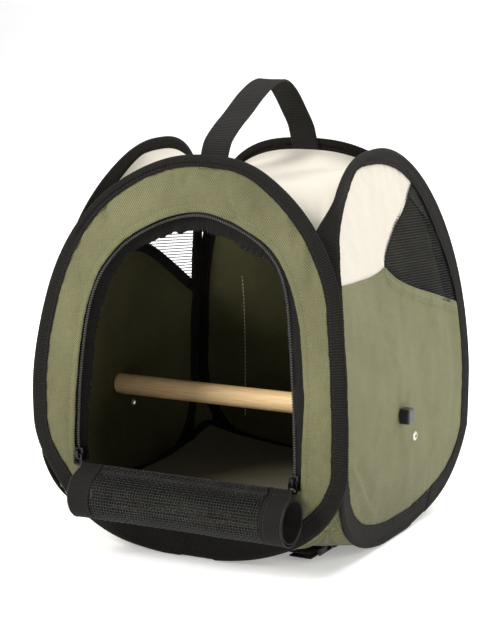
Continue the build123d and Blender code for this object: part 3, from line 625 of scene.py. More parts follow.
def coated_net(name, lo=(0.012, 0.012, 0.013), hi=(0.045, 0.045, 0.048), gloss=0.4, rough=0.38):
    m = Mat(name, Specular_IOR_Level=gloss)
    n = m.noise(m.obj, 1400.0, 2.0)
    g = m.noise(m.obj, 40.0, 2.0)
    m.color(m.mix(m.map(n, 0.35, 0.7, 0.0, 1.0), lo, hi))
    m.rough(m.map(g, 0.3, 0.7, rough, rough + 0.15))
    m.normal(m.bump(n, 0.00004, 0.6))
    return m.m


def timber(name):
    """Pale turned wood with its grain along X."""
    m = Mat(name, Specular_IOR_Level=0.35)
    v = m.scaled(m.obj, (1.6, 34.0, 34.0))
    bend = m.noise(m.scaled(m.obj, (2.4, 9.0, 9.0)), 3.0, 2.0)
    rings = m.node("ShaderNodeTexWave", wave_type="RINGS", rings_direction="X", wave_profile="SAW")
    m.put(rings.inputs["Vector"], m.scaled(m.obj, (0.35, 1.0, 1.0)))
    rings.inputs["Scale"].default_value = 120.0
    rings.inputs["Distortion"].default_value = 7.0
    rings.inputs["Detail"].default_value = 3.0
    rings.inputs["Detail Scale"].default_value = 0.8
    fibre = m.noise(v, 26.0, 4.0, 0.65)
    pore = m.noise(m.scaled(m.obj, (10.0, 260.0, 260.0)), 6.0, 2.0)
    c = m.ramp(fibre, (0.25, (0.76, 0.49, 0.22)), (0.55, (0.95, 0.68, 0.36)), (0.85, (0.99, 0.77, 0.46)))
    c = m.mix(m.map(rings.outputs["Fac"], 0.2, 1.0, 0.0, 0.26), c, (0.70, 0.43, 0.19))
    c = m.mix(m.map(pore, 0.62, 0.78, 0.0, 0.45), c, (0.40, 0.22, 0.09))
    c = m.mix(m.map(bend, 0.35, 0.7, 0.0, 0.25), c, (0.70, 0.46, 0.23))
    m.color(c)
    m.rough(m.map(fibre, 0.2, 0.8, 0.62, 0.45))
    m.normal(m.bump(m.math("MULTIPLY_ADD", pore, -0.6, fibre), 0.00012, 0.6))
    return m.m


RIB = 2.1
OLIVE = woven("olive_cloth", (0.262, 0.256, 0.136), (0.050, 0.047, 0.019), pitch=1.02, mottle=0.35, sheen=0.06, bump=0.00030)
# a darker copy of the olive cloth for the inner faces of the walls and the bottom: painted shade for the dim inside
OLIVE_INNER_SHADED = woven("olive_cloth_inner", (0.156, 0.148, 0.067), (0.038, 0.035, 0.013), pitch=1.02, mottle=0.35, sheen=0.03, bump=0.00030)
# a darker, browner copy of the olive cloth for the board's cover: painted shade on the floor inside
OLIVE_IN = woven("board_cover", (0.230, 0.203, 0.127), (0.070, 0.061, 0.037), pitch=1.02, mottle=0.3, sheen=0.05)
CREAM = woven("cream_cloth", (0.615, 0.580, 0.510), (0.450, 0.415, 0.350), pitch=0.9, sheen=0.03, mottle=0.05, bump=0.00010)
# a greyer, darker copy of the cream cloth for the roof's inner face: painted shade
CREAM_INNER_SHADED = woven("cream_cloth_inner", (0.250, 0.232, 0.195), (0.170, 0.155, 0.125), pitch=0.9, sheen=0.02, mottle=0.1, bump=0.00010)
TAPE = ribbed("black_tape", (0.0004, 0.0004, 0.0003), (0.0190, 0.0172, 0.0148), RIB, sheen=0.02, rough=0.8, bump=0.00042)
TAPE_FINE = ribbed("black_tape_fine", (0.0015, 0.0014, 0.0013), (0.018, 0.017, 0.015), 1.35, sheen=0.02, rough=0.8)
FACING = ribbed("black_facing", (0.0040, 0.0037, 0.0033), (0.0130, 0.0120, 0.0108), 1.9, sheen=0.05, rough=0.85, bump=0.0003, fuzz_amt=1.6)
WEBBING = ribbed("black_webbing", (0.0012, 0.0011, 0.0010), (0.024, 0.0225, 0.020), RIB, sheen=0.03, rough=0.75, bump=0.00026)
NET = coated_net("black_net", (0.003, 0.003, 0.003), (0.012, 0.012, 0.012), 0.25)
NET_ROLL = coated_net("black_net_roll", (0.0008, 0.0008, 0.0007), (0.0130, 0.0122, 0.0105), 0.26, 0.34)
COIL = plastic("zip_coil", (0.006, 0.006, 0.0062), 0.45, 0.0)
# the arch zip's teeth: a lighter grey than the cord, painted highlight for glints on the coil's turns
COIL_TEETH_GLINT = plastic("zip_coil_teeth", (0.075, 0.074, 0.072), 0.38, 0.0)
THREAD_BLACK = woven("thread_black", (0.040, 0.038, 0.036), (0.015, 0.014, 0.013), pitch=0.3, sheen=0.05)
THREAD_OLIVE = woven("thread_olive", (0.27, 0.265, 0.145), (0.12, 0.116, 0.058), pitch=0.3, sheen=0.1)
# dark and light copies of the olive thread for the pocket's sewn line seen inside: painted shade and painted highlight
THREAD_SHADE_PAINTED = woven("thread_olive_dark", (0.10, 0.095, 0.045), (0.05, 0.047, 0.02), pitch=0.3, sheen=0.05)
THREAD_HIGHLIGHT_PAINTED = woven("thread_olive_light", (0.72, 0.70, 0.50), (0.50, 0.48, 0.32), pitch=0.3, sheen=0.1)
THREAD_CREAM = woven("thread_cream", (0.66, 0.62, 0.52), (0.46, 0.43, 0.35), pitch=0.3, sheen=0.05)
BLACK_PLASTIC = plastic("black_plastic", (0.004, 0.004, 0.0042), 0.34, 0.12)
PLATE_COVER = plastic("plate_cover", (0.050, 0.046, 0.022), 0.75, 0.0)
ZIP_METAL = metal("zip_metal", (0.040, 0.040, 0.041), 0.30, (0.016, 0.016, 0.016))
EYELET_METAL = metal("eyelet_metal", (0.66, 0.63, 0.56), 0.40, (0.50, 0.47, 0.41))
STEEL = metal("spring_steel", (0.45, 0.46, 0.48), 0.3)
WOOD = timber("perch_wood")


# ------------------------------------------------------------------ camera
def make_camera():
    az, el, d = math.radians(27.13), math.radians(11.0), 1.69688
    back = Vector((math.sin(az) * math.cos(el), -math.cos(az) * math.cos(el), math.sin(el)))
    cam = bpy.data.objects.new("camera", bpy.data.cameras.new("camera"))
    bpy.context.scene.collection.objects.link(cam)
    cam.location = Vector((0, 0, 0.160)) + back * d
    cam.rotation_mode = "QUATERNION"
    cam.rotation_quaternion = (-back).to_track_quat("-Z", "Y")
    cam.data.sensor_width = 36.0
    cam.data.lens = 2020.72 * 36.0 / 642.0
    cam.data.shift_x = -10.1 / 642.0
    cam.data.shift_y = 12.78 / 642.0
    cam.data.clip_start, cam.data.clip_end = 0.05, 30.0
    bpy.context.scene.camera = cam


make_camera()


# ------------------------------------------------------------------ hoops
def hoop_tape(side):
    base = OUTLINE[side]
    L = np.linalg.norm(np.roll(base, -1, 0) - base, axis=1).sum()
    n = int(round(L / RIB)) * 3
    p, s, L = resample(base, n=n, closed=True)
    rib = np.cos(2 * math.pi * s / RIB)
    nrm = normals2(p, True)
    for _ in range(40):
        nrm = nrm * 0.5 + (np.roll(nrm, 1, 0) + np.roll(nrm, -1, 0)) * 0.25
    nrm /= np.linalg.norm(nrm, axis=1)[:, None]
    seed = {"front": 1, "back": 2, "left": 3, "right": 4}[side]
    ang = 2 * math.pi * s / L
    loop = lambda f, sd: vnoise(np.cos(ang) * f + 3.1, np.sin(ang) * f + 5.7, sd)     # noise that closes on itself
    W = tape_w(side, p) + 0.45 * loop(9, seed) + 0.18 * loop(40, seed + 9)
    # section: (share of W, offset from it, depth); outer face, rounded edge over the wire, inner face, then the slot for the cloth
    sec = [(1, -0.05, 0.62), (1, -0.02, 0.26), (1, -0.5, 0.0), (1, -1.5, -0.06), (1, -2.1, 0.06), (1, -2.5, 0.30), (1, -2.9, 0.08),
           (1, -3.7, -0.16), (0.55, 0.2, -0.28), (0, 6.4, -0.34), (0, 5.0, -0.62), (0, 3.6, -0.66), (0, 2.2, -0.46), (0, 1.1, 0.05),
           (0, 0.4, 0.65), (0, 0.12, 1.25), (0, 0.12, 1.95), (0, 0.4, 2.55), (0, 1.1, 3.05), (0, 2.2, 3.4), (0, 3.6, 3.5), (0, 5.0, 3.45),
           (0, 6.4, 3.3), (0.55, 0.2, 3.28), (1, -3.7, 3.24), (1, -2.9, 3.1), (1, -2.5, 2.92), (1, -2.1, 3.1), (1, -1.5, 3.2),
           (1, -0.5, 3.16), (1, -0.02, 2.95), (1, -0.05, 2.6), (1, -0.4, 2.28), (0.5, 2.0, 2.26), (0, 6.3, 2.24), (0, 6.1, 1.6),
           (0, 6.3, 0.96), (0.5, 2.0, 0.94), (1, -0.4, 0.92)]
    a = np.array(sec)
    w = a[None, :, 0] * W[:, None] + a[None, :, 1]
    d = np.repeat(a[None, :, 2], n, 0)
    shown = np.arange(len(sec)) < 32
    # small puckers where the tape is sewn, and the lap where its ends meet
    puck = (0.16 * loop(60, seed + 3) + 0.22 * loop(22, seed + 4))[:, None] * np.clip(w / W[:, None], 0, 1) ** 2
    d = d + puck
    u0 = p[:, 0]
    foot = p[:, 1] < 60
    lap_at = (-8.0 if side == "front" else 30.0) + 9.0 * np.clip(w / 20.0, 0, 1)          # the lap's end is cut a little aslant
    lap = np.where(foot[:, None] & (u0[:, None] > lap_at) & (u0[:, None] < lap_at + 30), 1.0, 0.0)
    mid = 1.6
    dn = np.stack([np.gradient(w, axis=1), np.gradient(d, axis=1)], -1)
    sn = np.stack([dn[..., 1], -dn[..., 0]], -1)
    sn /= np.linalg.norm(sn, axis=-1)[..., None] + 1e-9
    grow = (0.13 * rib[:, None] + 0.7 * lap) * shown[None, :]
    w2 = w + sn[..., 0] * grow
    d2 = d + sn[..., 1] * grow
    u = p[:, None, 0] - nrm[:, None, 0] * w2
    z = p[:, None, 1] - nrm[:, None, 1] * w2
    co = place(side, u, z, d2)
    co[..., 2] = np.maximum(co[..., 2], 0.0)
    q = grid_faces(n, len(sec), closed_n=True, closed_m=True)
    if side in ("front", "right"):
        q = q[:, ::-1]
    run = np.concatenate([[0], np.cumsum(np.hypot(np.diff(a[:, 0]) * 14 + np.diff(a[:, 1]), np.diff(a[:, 2])))])
    uv = np.stack([np.repeat(s[:, None], len(sec), 1), np.repeat(run[None], n, 0)], -1) * 0.001
    ob = make_mesh("tape_" + side, co, q, uv=uv, mats=[TAPE])
    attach(ob, "carrier")
    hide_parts("hoop_tape_" + side, "hoop_wire_" + side)
    # sewn lines through both faces
    pile = Pile()
    for depth, sgn in ((0.22, 1.0), (3.0, -1.0)):
        ws = W - 2.5
        line = place(side, p[:, 0] - nrm[:, 0] * ws, p[:, 1] - nrm[:, 1] * ws, depth + puck[:, 5])
        line[:, 2] = np.maximum(line[:, 2], 0.35)
        stitches(pile, np.vstack([line, line[:1]]), OUT[side] * sgn, length=2.6, gap=0.8, r=0.24)
    st = pile.make("tape_thread_" + side, [THREAD_BLACK])
    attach(st, "carrier")
    return ob


for _s in ("front", "back", "left", "right"):
    hoop_tape(_s)


# ------------------------------------------------------------------ cloth panels on the walls
def boundary_edges(tris):
    e = np.concatenate([tris[:, [0, 1]], tris[:, [1, 2]], tris[:, [2, 0]]])
    key = np.sort(e, 1)
    uniq, first, cnt = np.unique(key, axis=0, return_index=True, return_counts=True)
    return e[first[cnt == 1]]


def flat_cut(loops, lines, keep, spacing):
    """Triangles over a flat region. loops and lines are its edges and seams, keep says which points belong to it."""
    pts, edges = [], []
    for loop, closed in [(l, True) for l in loops] + [(l, False) for l in lines]:
        k = len(pts)
        pts += [tuple(v) for v in loop]
        edges += [(k + i, k + i + 1) for i in range(len(loop) - 1)] + ([(k + len(loop) - 1, k)] if closed else [])
    allp = np.array(pts)
    lo, hi = allp.min(0), allp.max(0)
    xs = np.arange(lo[0], hi[0], spacing)
    ys = np.arange(lo[1], hi[1], spacing * 0.866)
    X, Y = np.meshgrid(xs, ys, indexing="ij")
    X = X + (np.arange(len(ys)) % 2)[None, :] * spacing * 0.5
    X, Y = X.ravel(), Y.ravel()
    m = keep(X, Y)
    X, Y = X[m], Y[m]
    near = np.full(X.shape, 1e9)
    for loop, closed in [(l, True) for l in loops] + [(l, False) for l in lines]:
        near = np.minimum(near, near_line(loop, X, Y, closed)[0])
    m = near > spacing * 0.55
    for x, y in zip(X[m], Y[m]):
        pts.append((x, y))
    v, e, f, _, _, _ = delaunay_2d_cdt([Vector(q) for q in pts], edges, [], 0, 1e-4)
    v = np.array([(q[0], q[1]) for q in v])
    f = np.array([t for t in f if len(t) == 3], int)
    c = v[f].mean(1)
    f = f[keep(c[:, 0], c[:, 1])]
    used = np.unique(f)
    remap = np.full(len(v), -1)
    remap[used] = np.arange(len(used))
    return v[used], remap[f]


def cloth_solid(side, v, f, d0, thick, disp, name, mats, uv_scale=0.001, rim_mat=0, inner_mat=0):
    """A sheet with two faces and a rim, at depth d0 under a wall's outer face."""
    u, z = v[:, 0], v[:, 1]
    h = disp(u, z) if disp else np.zeros(len(u))
    a = place(side, u, z, d0 - h)
    b = place(side, u, z, d0 + thick - h)
    n0 = np.cross(a[f[:, 1]] - a[f[:, 0]], a[f[:, 2]] - a[f[:, 0]]).sum(0)
    if n0 @ OUT[side] < 0:
        f = f[:, ::-1]
    n = len(v)
    rim = boundary_edges(f)
    quads = np.stack([rim[:, 1], rim[:, 0], rim[:, 0] + n, rim[:, 1] + n], 1)
    tris = np.vstack([f, f[:, ::-1] + n])
    uv = np.vstack([v, v]) * uv_scale
    mt = np.concatenate([np.zeros(len(f), int), np.full(len(f), inner_mat)])
    ob = make_mesh(name, np.vstack([a, b]), quads, tris, uv, mats, np.full(len(quads), rim_mat), mt)
    return ob


def poly_area(v, f):
    a, b, c = v[f[:, 0]], v[f[:, 1]], v[f[:, 2]]
    return abs(0.5 * ((b[:, 0] - a[:, 0]) * (c[:, 1] - a[:, 1]) - (b[:, 1] - a[:, 1]) * (c[:, 0] - a[:, 0]))).sum()


def declare_cut(v, f):
    lo, hi = v.min(0), v.max(0)
    min(poly_area(v, f) / 1e6, (hi - lo).prod() / 1e6)


EDGE = {s: inset(s, lambda p, s=s: tape_w(s, p)) for s in OUTLINE}           # the tape's inner edge
CUT = {s: resample(inset(s, PANEL_IN), step=3.0 * FINE, closed=True)[0] for s in OUTLINE}


def edge_pucker(side, u, z, amp, reach, wave, seed):
    e, _, L = resample(EDGE[side], n=360, closed=True)
    d, s = near_line(e, u, z)
    ph = 2.2 * vnoise(s / 31.0, 0.5, seed) + 1.3 * vnoise(s / 9.0, 2.5, seed)
    a = 0.45 + 0.55 * smooth01(vnoise(s / 45.0, 1.5, seed + 2) + 0.6)
    k = round(L / wave)
    return amp * a * np.exp(-d / reach) * np.sin(2 * math.pi * k * s / L + ph), d


# the arch: the coil's line, foot to foot over the top, and the cloth's edge outside it
ARCH = [(-97.4, ARCH_FOOT), (-98.4, 84), (-98.6, 92), (-97.6, 110), (-96.9, 125), (-95.6, 144), (-94.0, 168), (-92.0, 190.5), (-87.8, 211), (-80, 229),
        (-64.5, 247.6), (-44, 260.6), (-25, 268.4), (-7, 272.0), (8, 271.4), (23, 267.6), (39, 262.0), (54, 254.6), (66, 245.6), (74.6, 235.6), (80.8, 224), (86, 206),
        (90.4, 180), (93.6, 154), (95.8, 127), (96.8, 100), (97, 86), (97, ARCH_FOOT)]
COIL_LINE = smooth_open(catmull(ARCH, 12), 1.0, 30)
_n = -normals2(COIL_LINE)                                            # away from the opening
GAP = np.interp(np.arange(len(COIL_LINE)) / (len(COIL_LINE) - 1), [0, 0.16, 0.3, 0.5, 0.6, 0.68, 0.76, 0.86, 0.93, 1.0],
                [2.4, 2.1, 2.2, 2.6, 3.2, 4.6, 9.6, 10.4, 7.0, 5.4])


def arch_line(off, step=1.0, foot=None):
    """The coil's line moved away from the opening by off."""
    o = np.asarray(off, float) * np.ones(len(COIL_LINE))
    q = COIL_LINE + _n * o[:, None]
    if foot is not None:
        q = np.vstack([[q[0, 0], foot], q, [q[-1, 0], foot]])
    return resample(q, step=step)[0]


def front_panel():
    arch = arch_line(GAP, 3.0 * FINE, foot=SILL - 0.6)
    hole = arch[:-1] if np.allclose(arch[0], arch[-1]) else arch
    outer = CUT["front"]
    keep = lambda x, y: inside(outer, x, y) & ~inside(hole, x, y)
    sewn = []
    for off in (3.2, 4.5, 5.4, 6.3, 7.6):
        l = resample(COIL_LINE + _n * (GAP + off)[:, None], step=2.4)[0]
        sewn.append(l[(l[:, 1] > 72.0) & inside(inset("front", PANEL_IN + 1.2, 240), l[:, 0], l[:, 1])])
    v, f = flat_cut([outer, hole], sewn, keep, 2.6 * FINE)
    line = arch_line(GAP, 4.0)

    def disp(u, z):
        p, d = edge_pucker("front", u, z, 0.55, 11.0, 17.0, 21)
        d = np.where(inside(EDGE["front"], u, z), d, 0.0)             # nought under the binding
        da, sa = near_line(line, u, z, closed=False)
        q = 0.20 * np.exp(-da / 7.0) * np.sin(sa * 2 * math.pi / 10.5 + 1.7 * vnoise(sa / 23.0, 0.3, 5))
        h = p + q + 1.7 * fbm(u / 46.0, z / 54.0, 31) * smooth01(d / 14) + 0.30 * fbm(u / 13.0, z / 13.0, 8)
        h = h + 0.45 * (1 - smooth01(da / 5.0))                       # the turned edge lies on the zip's tape
        h = h - 0.65 * np.exp(-((da - 5.4) / 1.3) ** 2) * (z > 70)    # sewn line
        # folds seen in the cloth
        h = h + ridge(u, z, [(10, 296), (20, 283.5), (36, 268)], 5.1, -4.4) + ridge(u, z, [(22, 296), (31, 283), (45, 266)], 5.5, 3.8)
        h = h + ridge(u, z, [(80, 283), (85, 268), (86, 256)], 3.6, -4.2, 8) + ridge(u, z, [(89, 272), (91, 252), (94, 236)], 2.9, 3.0, 8)
        h = h + ridge(u, z, [(-34, 303), (-30, 294), (-26, 288)], 3.8, -2.5, 6) + ridge(u, z, [(-8, 306), (-11, 298)], 3.4, 1.9, 5) + ridge(u, z, [(2, 305), (0, 297)], 3.4, -1.9, 5)
        h = h + ridge(u, z, [(44, 292), (60, 276), (70, 258)], 7.6, -4.6) + ridge(u, z, [(52, 300), (72, 286)], 5.1, 3.0, 8)
        h = h + ridge(u, z, [(-108, 240), (-98, 225), (-94, 205)], 6.8, -3.0) + ridge(u, z, [(-70, 268), (-48, 280), (-30, 284)], 7.6, 3.0)
        h = h + ridge(u, z, [(98, 262), (101, 240), (104, 220)], 3.4, -2.7) + ridge(u, z, [(72, 287), (70, 272)], 4.2, 1.3, 6)
        h = h + ridge(u, z, [(-18, 310), (-19, 300), (-22, 288)], 3.4, -1.7, 6) + ridge(u, z, [(-60, 292), (-54, 283), (-50, 272)], 4.2, -1.1, 6)
        h = h + ridge(u, z, [(-92, 276), (-85, 266), (-80, 258)], 4.2, -1.9, 6) + ridge(u, z, [(-84, 282), (-77, 270)], 4.2, 1.3, 6)
        h = h + ridge(u, z, [(-118, 206), (-107, 190), (-104, 168)], 6.0, 1.1) + ridge(u, z, [(110, 190), (114, 150), (112, 110)], 5.1, 0.9)
        h = h + ridge(u, z, [(-120, 120), (-108, 84), (-84, 52)], 7.6, 1.3) + ridge(u, z, [(118, 100), (108, 78), (98, 60)], 6.0, -1.3)
        h = np.maximum(h + 1.3 * smooth01((d - 3.0) / 14.0) * smooth01((da - 7.0) / 12.0), -1.5)
        h = h * (1 - (1 - smooth01((z - 72.0) / 16.0)) * (1 - smooth01((np.abs(u) - 96.0) / 14.0)))   # flat behind the roll
        return np.minimum(h, 0.12 + 0.16 * d)                         # nothing rises out under the binding
    ob = cloth_solid("front", v, f, CLOTH_D, 0.95, disp, "front_cloth", [OLIVE, OLIVE_INNER_SHADED], inner_mat=1)
    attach(ob, "carrier")
    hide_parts("front_panel")
    declare_cut(v, f)
    # topstitching round the door
    pile = Pile()
    sl = arch_line(GAP + 5.4, 0.8)
    sl = sl[sl[:, 1] > 73]
    stitches(pile, place("front", sl[:, 0], sl[:, 1], CLOTH_D - disp(sl[:, 0], sl[:, 1])), OUT["front"], 2.5, 0.8, 0.24)
    st = pile.make("door_thread", [THREAD_OLIVE])
    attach(st, "carrier")


front_panel()


def back_panel():
    outer = CUT["back"]
    hx, z0, z1, r = 86.0, 44.0, 186.0, 5.0
    rect = []
    for cx, cz, a0 in ((hx - r, z1 - r, 0), (-hx + r, z1 - r, 90), (-hx + r, z0 + r, 180), (hx - r, z0 + r, 270)):
        for k in range(7):
            a = math.radians(a0 + k * 15)
            rect.append((cx + r * math.cos(a), cz + r * math.sin(a)))
    rect = np.array(rect)
    ring = resample(rect, step=3.0 * FINE, closed=True)[0]
    keep = lambda x, y: inside(outer, x, y)
    v, f = flat_cut([outer], [ring], keep, 3.2 * FINE)

    def disp(u, z):
        p, d = edge_pucker("back", u, z, 0.3, 11.0, 15.0, 41)
        dr, sr = near_line(ring, u, z)
        h = p + 1.1 * fbm(u / 60.0, z / 60.0, 44) * smooth01(d / 16) + 0.16 * fbm(u / 12.0, z / 12.0, 45)
        return h - 0.35 * np.exp(-(dr / 1.6) ** 2) + 0.22 * np.exp(-dr / 6.0) * np.sin(sr * 2 * math.pi / 12.0 + 2 * vnoise(sr / 20.0, 0.1, 46))
    ob = cloth_solid("back", v, f, CLOTH_D, 0.95, disp, "back_cloth", [OLIVE, OLIVE_INNER_SHADED], inner_mat=1)
    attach(ob, "carrier")
    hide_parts("back_panel")
    declare_cut(v, f)
    # the pocket outside: hemmed top edge, a little slack
    lim = rect * 1.0
    pk, pf = flat_cut([resample(lim, step=2.6 * FINE, closed=True)[0]], [], lambda x, y: inside(lim, x, y), 2.8 * FINE)

    def pocket(u, z):
        base = disp(u, z)
        dr, sr = near_line(ring, u, z)
        top = smooth01((z - 150) / 34)
        slack = (1.0 + 2.6 * top) * smooth01(np.minimum(dr, np.abs(np.abs(u) - hx)) / 30)
        slack = slack * np.where(z > 130, smooth01((hx - np.abs(u)) / 36), 1.0)
        hem = 0.35 * smooth01((z - (z1 - 14)) / 1.2)
        return base + slack + hem + 0.35 * fbm(u / 22.0, z / 22.0, 48) * smooth01(dr / 10) + 0.18 * np.exp(-dr / 5.0) * np.sin(sr * 2 * math.pi / 9.0)
    pb = cloth_solid("back", pk, pf, CLOTH_D - 1.1, 0.9, pocket, "back_pocket_cloth", [OLIVE])
    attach(pb, "carrier")
    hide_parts("back_pocket")
    declare_cut(pk, pf)
    pile = Pile()
    path = rect[::-1]
    sides = resample(np.vstack([[(-hx + 1.6, z1 - 1)], [(-hx + 1.6, z0 + 5)], [(-hx + 6, z0 + 1.6)], [(hx - 6, z0 + 1.6)], [(hx - 1.6, z0 + 5)], [(hx - 1.6, z1 - 1)]]), step=0.8)[0]
    stitches(pile, place("back", sides[:, 0], sides[:, 1], CLOTH_D - 1.1 - pocket(sides[:, 0], sides[:, 1])), OUT["back"], 2.6, 0.8, 0.26)
    inner = place("back", sides[:, 0], sides[:, 1], CLOTH_D + 0.95 - disp(sides[:, 0], sides[:, 1]))
    # inside, the run seen through the door takes the light copy (painted highlight) and the rest the dark copy (painted
    # shade)
    seen = (sides[:, 0] < -hx + 2.2) & (sides[:, 1] > z0 + 8)
    stitches(pile, inner[seen], -OUT["back"], 3.0, 0.5, 0.42, lift=0.3, mat=1)
    stitches(pile, inner[np.flatnonzero(seen)[-1] + 1:], -OUT["back"], 2.6, 0.8, 0.26, mat=2)
    for zz in (z1 - 2.0, z1 - 12.5):
        x = np.linspace(-hx + 3, hx - 3, 220)
        stitches(pile, place("back", x, zz, CLOTH_D - 1.1 - pocket(x, np.full_like(x, zz))), OUT["back"], 2.6, 0.8, 0.26)
    st = pile.make("pocket_thread", [THREAD_OLIVE, THREAD_HIGHLIGHT_PAINTED, THREAD_SHADE_PAINTED])
    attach(st, "carrier")


back_panel()


# ------------------------------------------------------------------ side walls
DIAG_C = catmull(DIAG, 10)
SEAM_C = catmull(SEAM, 10)
UP_C = np.vstack([SEAM_C, DIAG_C[1:]])
HEM_S = {"left": catmull(HEM_L, 10), "right": catmull(HEM_R, 10)}
LOW_S = {k: np.vstack([SEAM_C, h[1:]]) for k, h in HEM_S.items()}


def side_disp(side):
    sd = 60 if side == "left" else 80
    HEM_C, LOW_C = HEM_S[side], LOW_S[side]

    def disp(u, z):
        p, d = edge_pucker(side, u, z, 0.32, 11.0, 15.0, sd)
        h = p + 1.8 * fbm(u / 50.0, z / 75.0, sd + 1) * smooth01(d / 18) + 0.22 * fbm(u / 13.0, z / 14.0, sd + 2)
        r = np.hypot(u - PERCH_Y, z - PERCH_Z)
        ang = np.arctan2(z - PERCH_Z, u - PERCH_Y)
        h = h - 0.9 * np.exp(-(r / 13.0) ** 2) + 0.30 * np.exp(-((r - 16) / 12.0) ** 2) * np.sin(ang * 5 + 0.6) * smooth01((r - 5) / 6)
        # soft folds: one up from the lower front corner, and upright ones from the shoulder
        h = h + ridge(u, z, [(-116, 88), (-92, 62), (-70, 42), (-52, 30)], 5.0, 3.0) + ridge(u, z, [(-104, 92), (-82, 66), (-60, 46)], 7.0, -1.8)
        h = h + ridge(u, z, [(-110, 60), (-96, 44), (-86, 34)], 5.0, 0.9) + ridge(u, z, [(-14, 200), (-17, 150), (-14, 118)], 9.0, 0.8)
        h = h + ridge(u, z, [(-40, 214), (-44, 160), (-40, 120)], 11.0, -0.8) + ridge(u, z, [(30, 196), (26, 150), (34, 96)], 12.0, -0.7)
        h = h + ridge(u, z, [(70, 180), (76, 130), (64, 84)], 10.0, 0.8) + ridge(u, z, [(96, 170), (100, 120), (92, 70)], 7.0, -0.7)
        h = h + ridge(u, z, [(-4, 82), (6, 50), (8, 24)], 9.0, 0.7) + ridge(u, z, [(40, 84), (60, 56)], 9.0, -0.7)
        h = h + ridge(u, z, [(-62, 300), (-66, 262), (-60, 232)], 9.0, 0.5) + ridge(u, z, [(-20, 300), (-26, 262), (-24, 232)], 9.0, -0.5)
        dh, sh = near_line(HEM_C, u, z, closed=False)
        low = (z < np.interp(u, LOW_C[:, 0], LOW_C[:, 1]) + 0.5) & (u > -21)
        hem = 1.0 * (1 - smooth01((dh - 8.4) / 1.4)) * low * smooth01((u + 21) / 4)
        hem = hem - (0.7 * np.exp(-((dh - 2.2) / 0.9) ** 2) + 0.8 * np.exp(-((dh - 7.4) / 0.9) ** 2)) * low * smooth01((u + 21) / 4)
        wav = 0.16 * np.exp(-(dh / 9.0)) * np.sin(sh * 2 * math.pi / 11.0 + 2 * vnoise(sh / 19.0, 0.7, sd + 5)) * low
        dsm, _ = near_line(SEAM_C, u, z, closed=False)
        free = np.where(inside(EDGE[side], u, z), d, 0.0)
        return np.minimum(h + hem + wav - 0.30 * np.exp(-(dsm / 1.1) ** 2), 0.15 + 0.18 * free)
    return disp


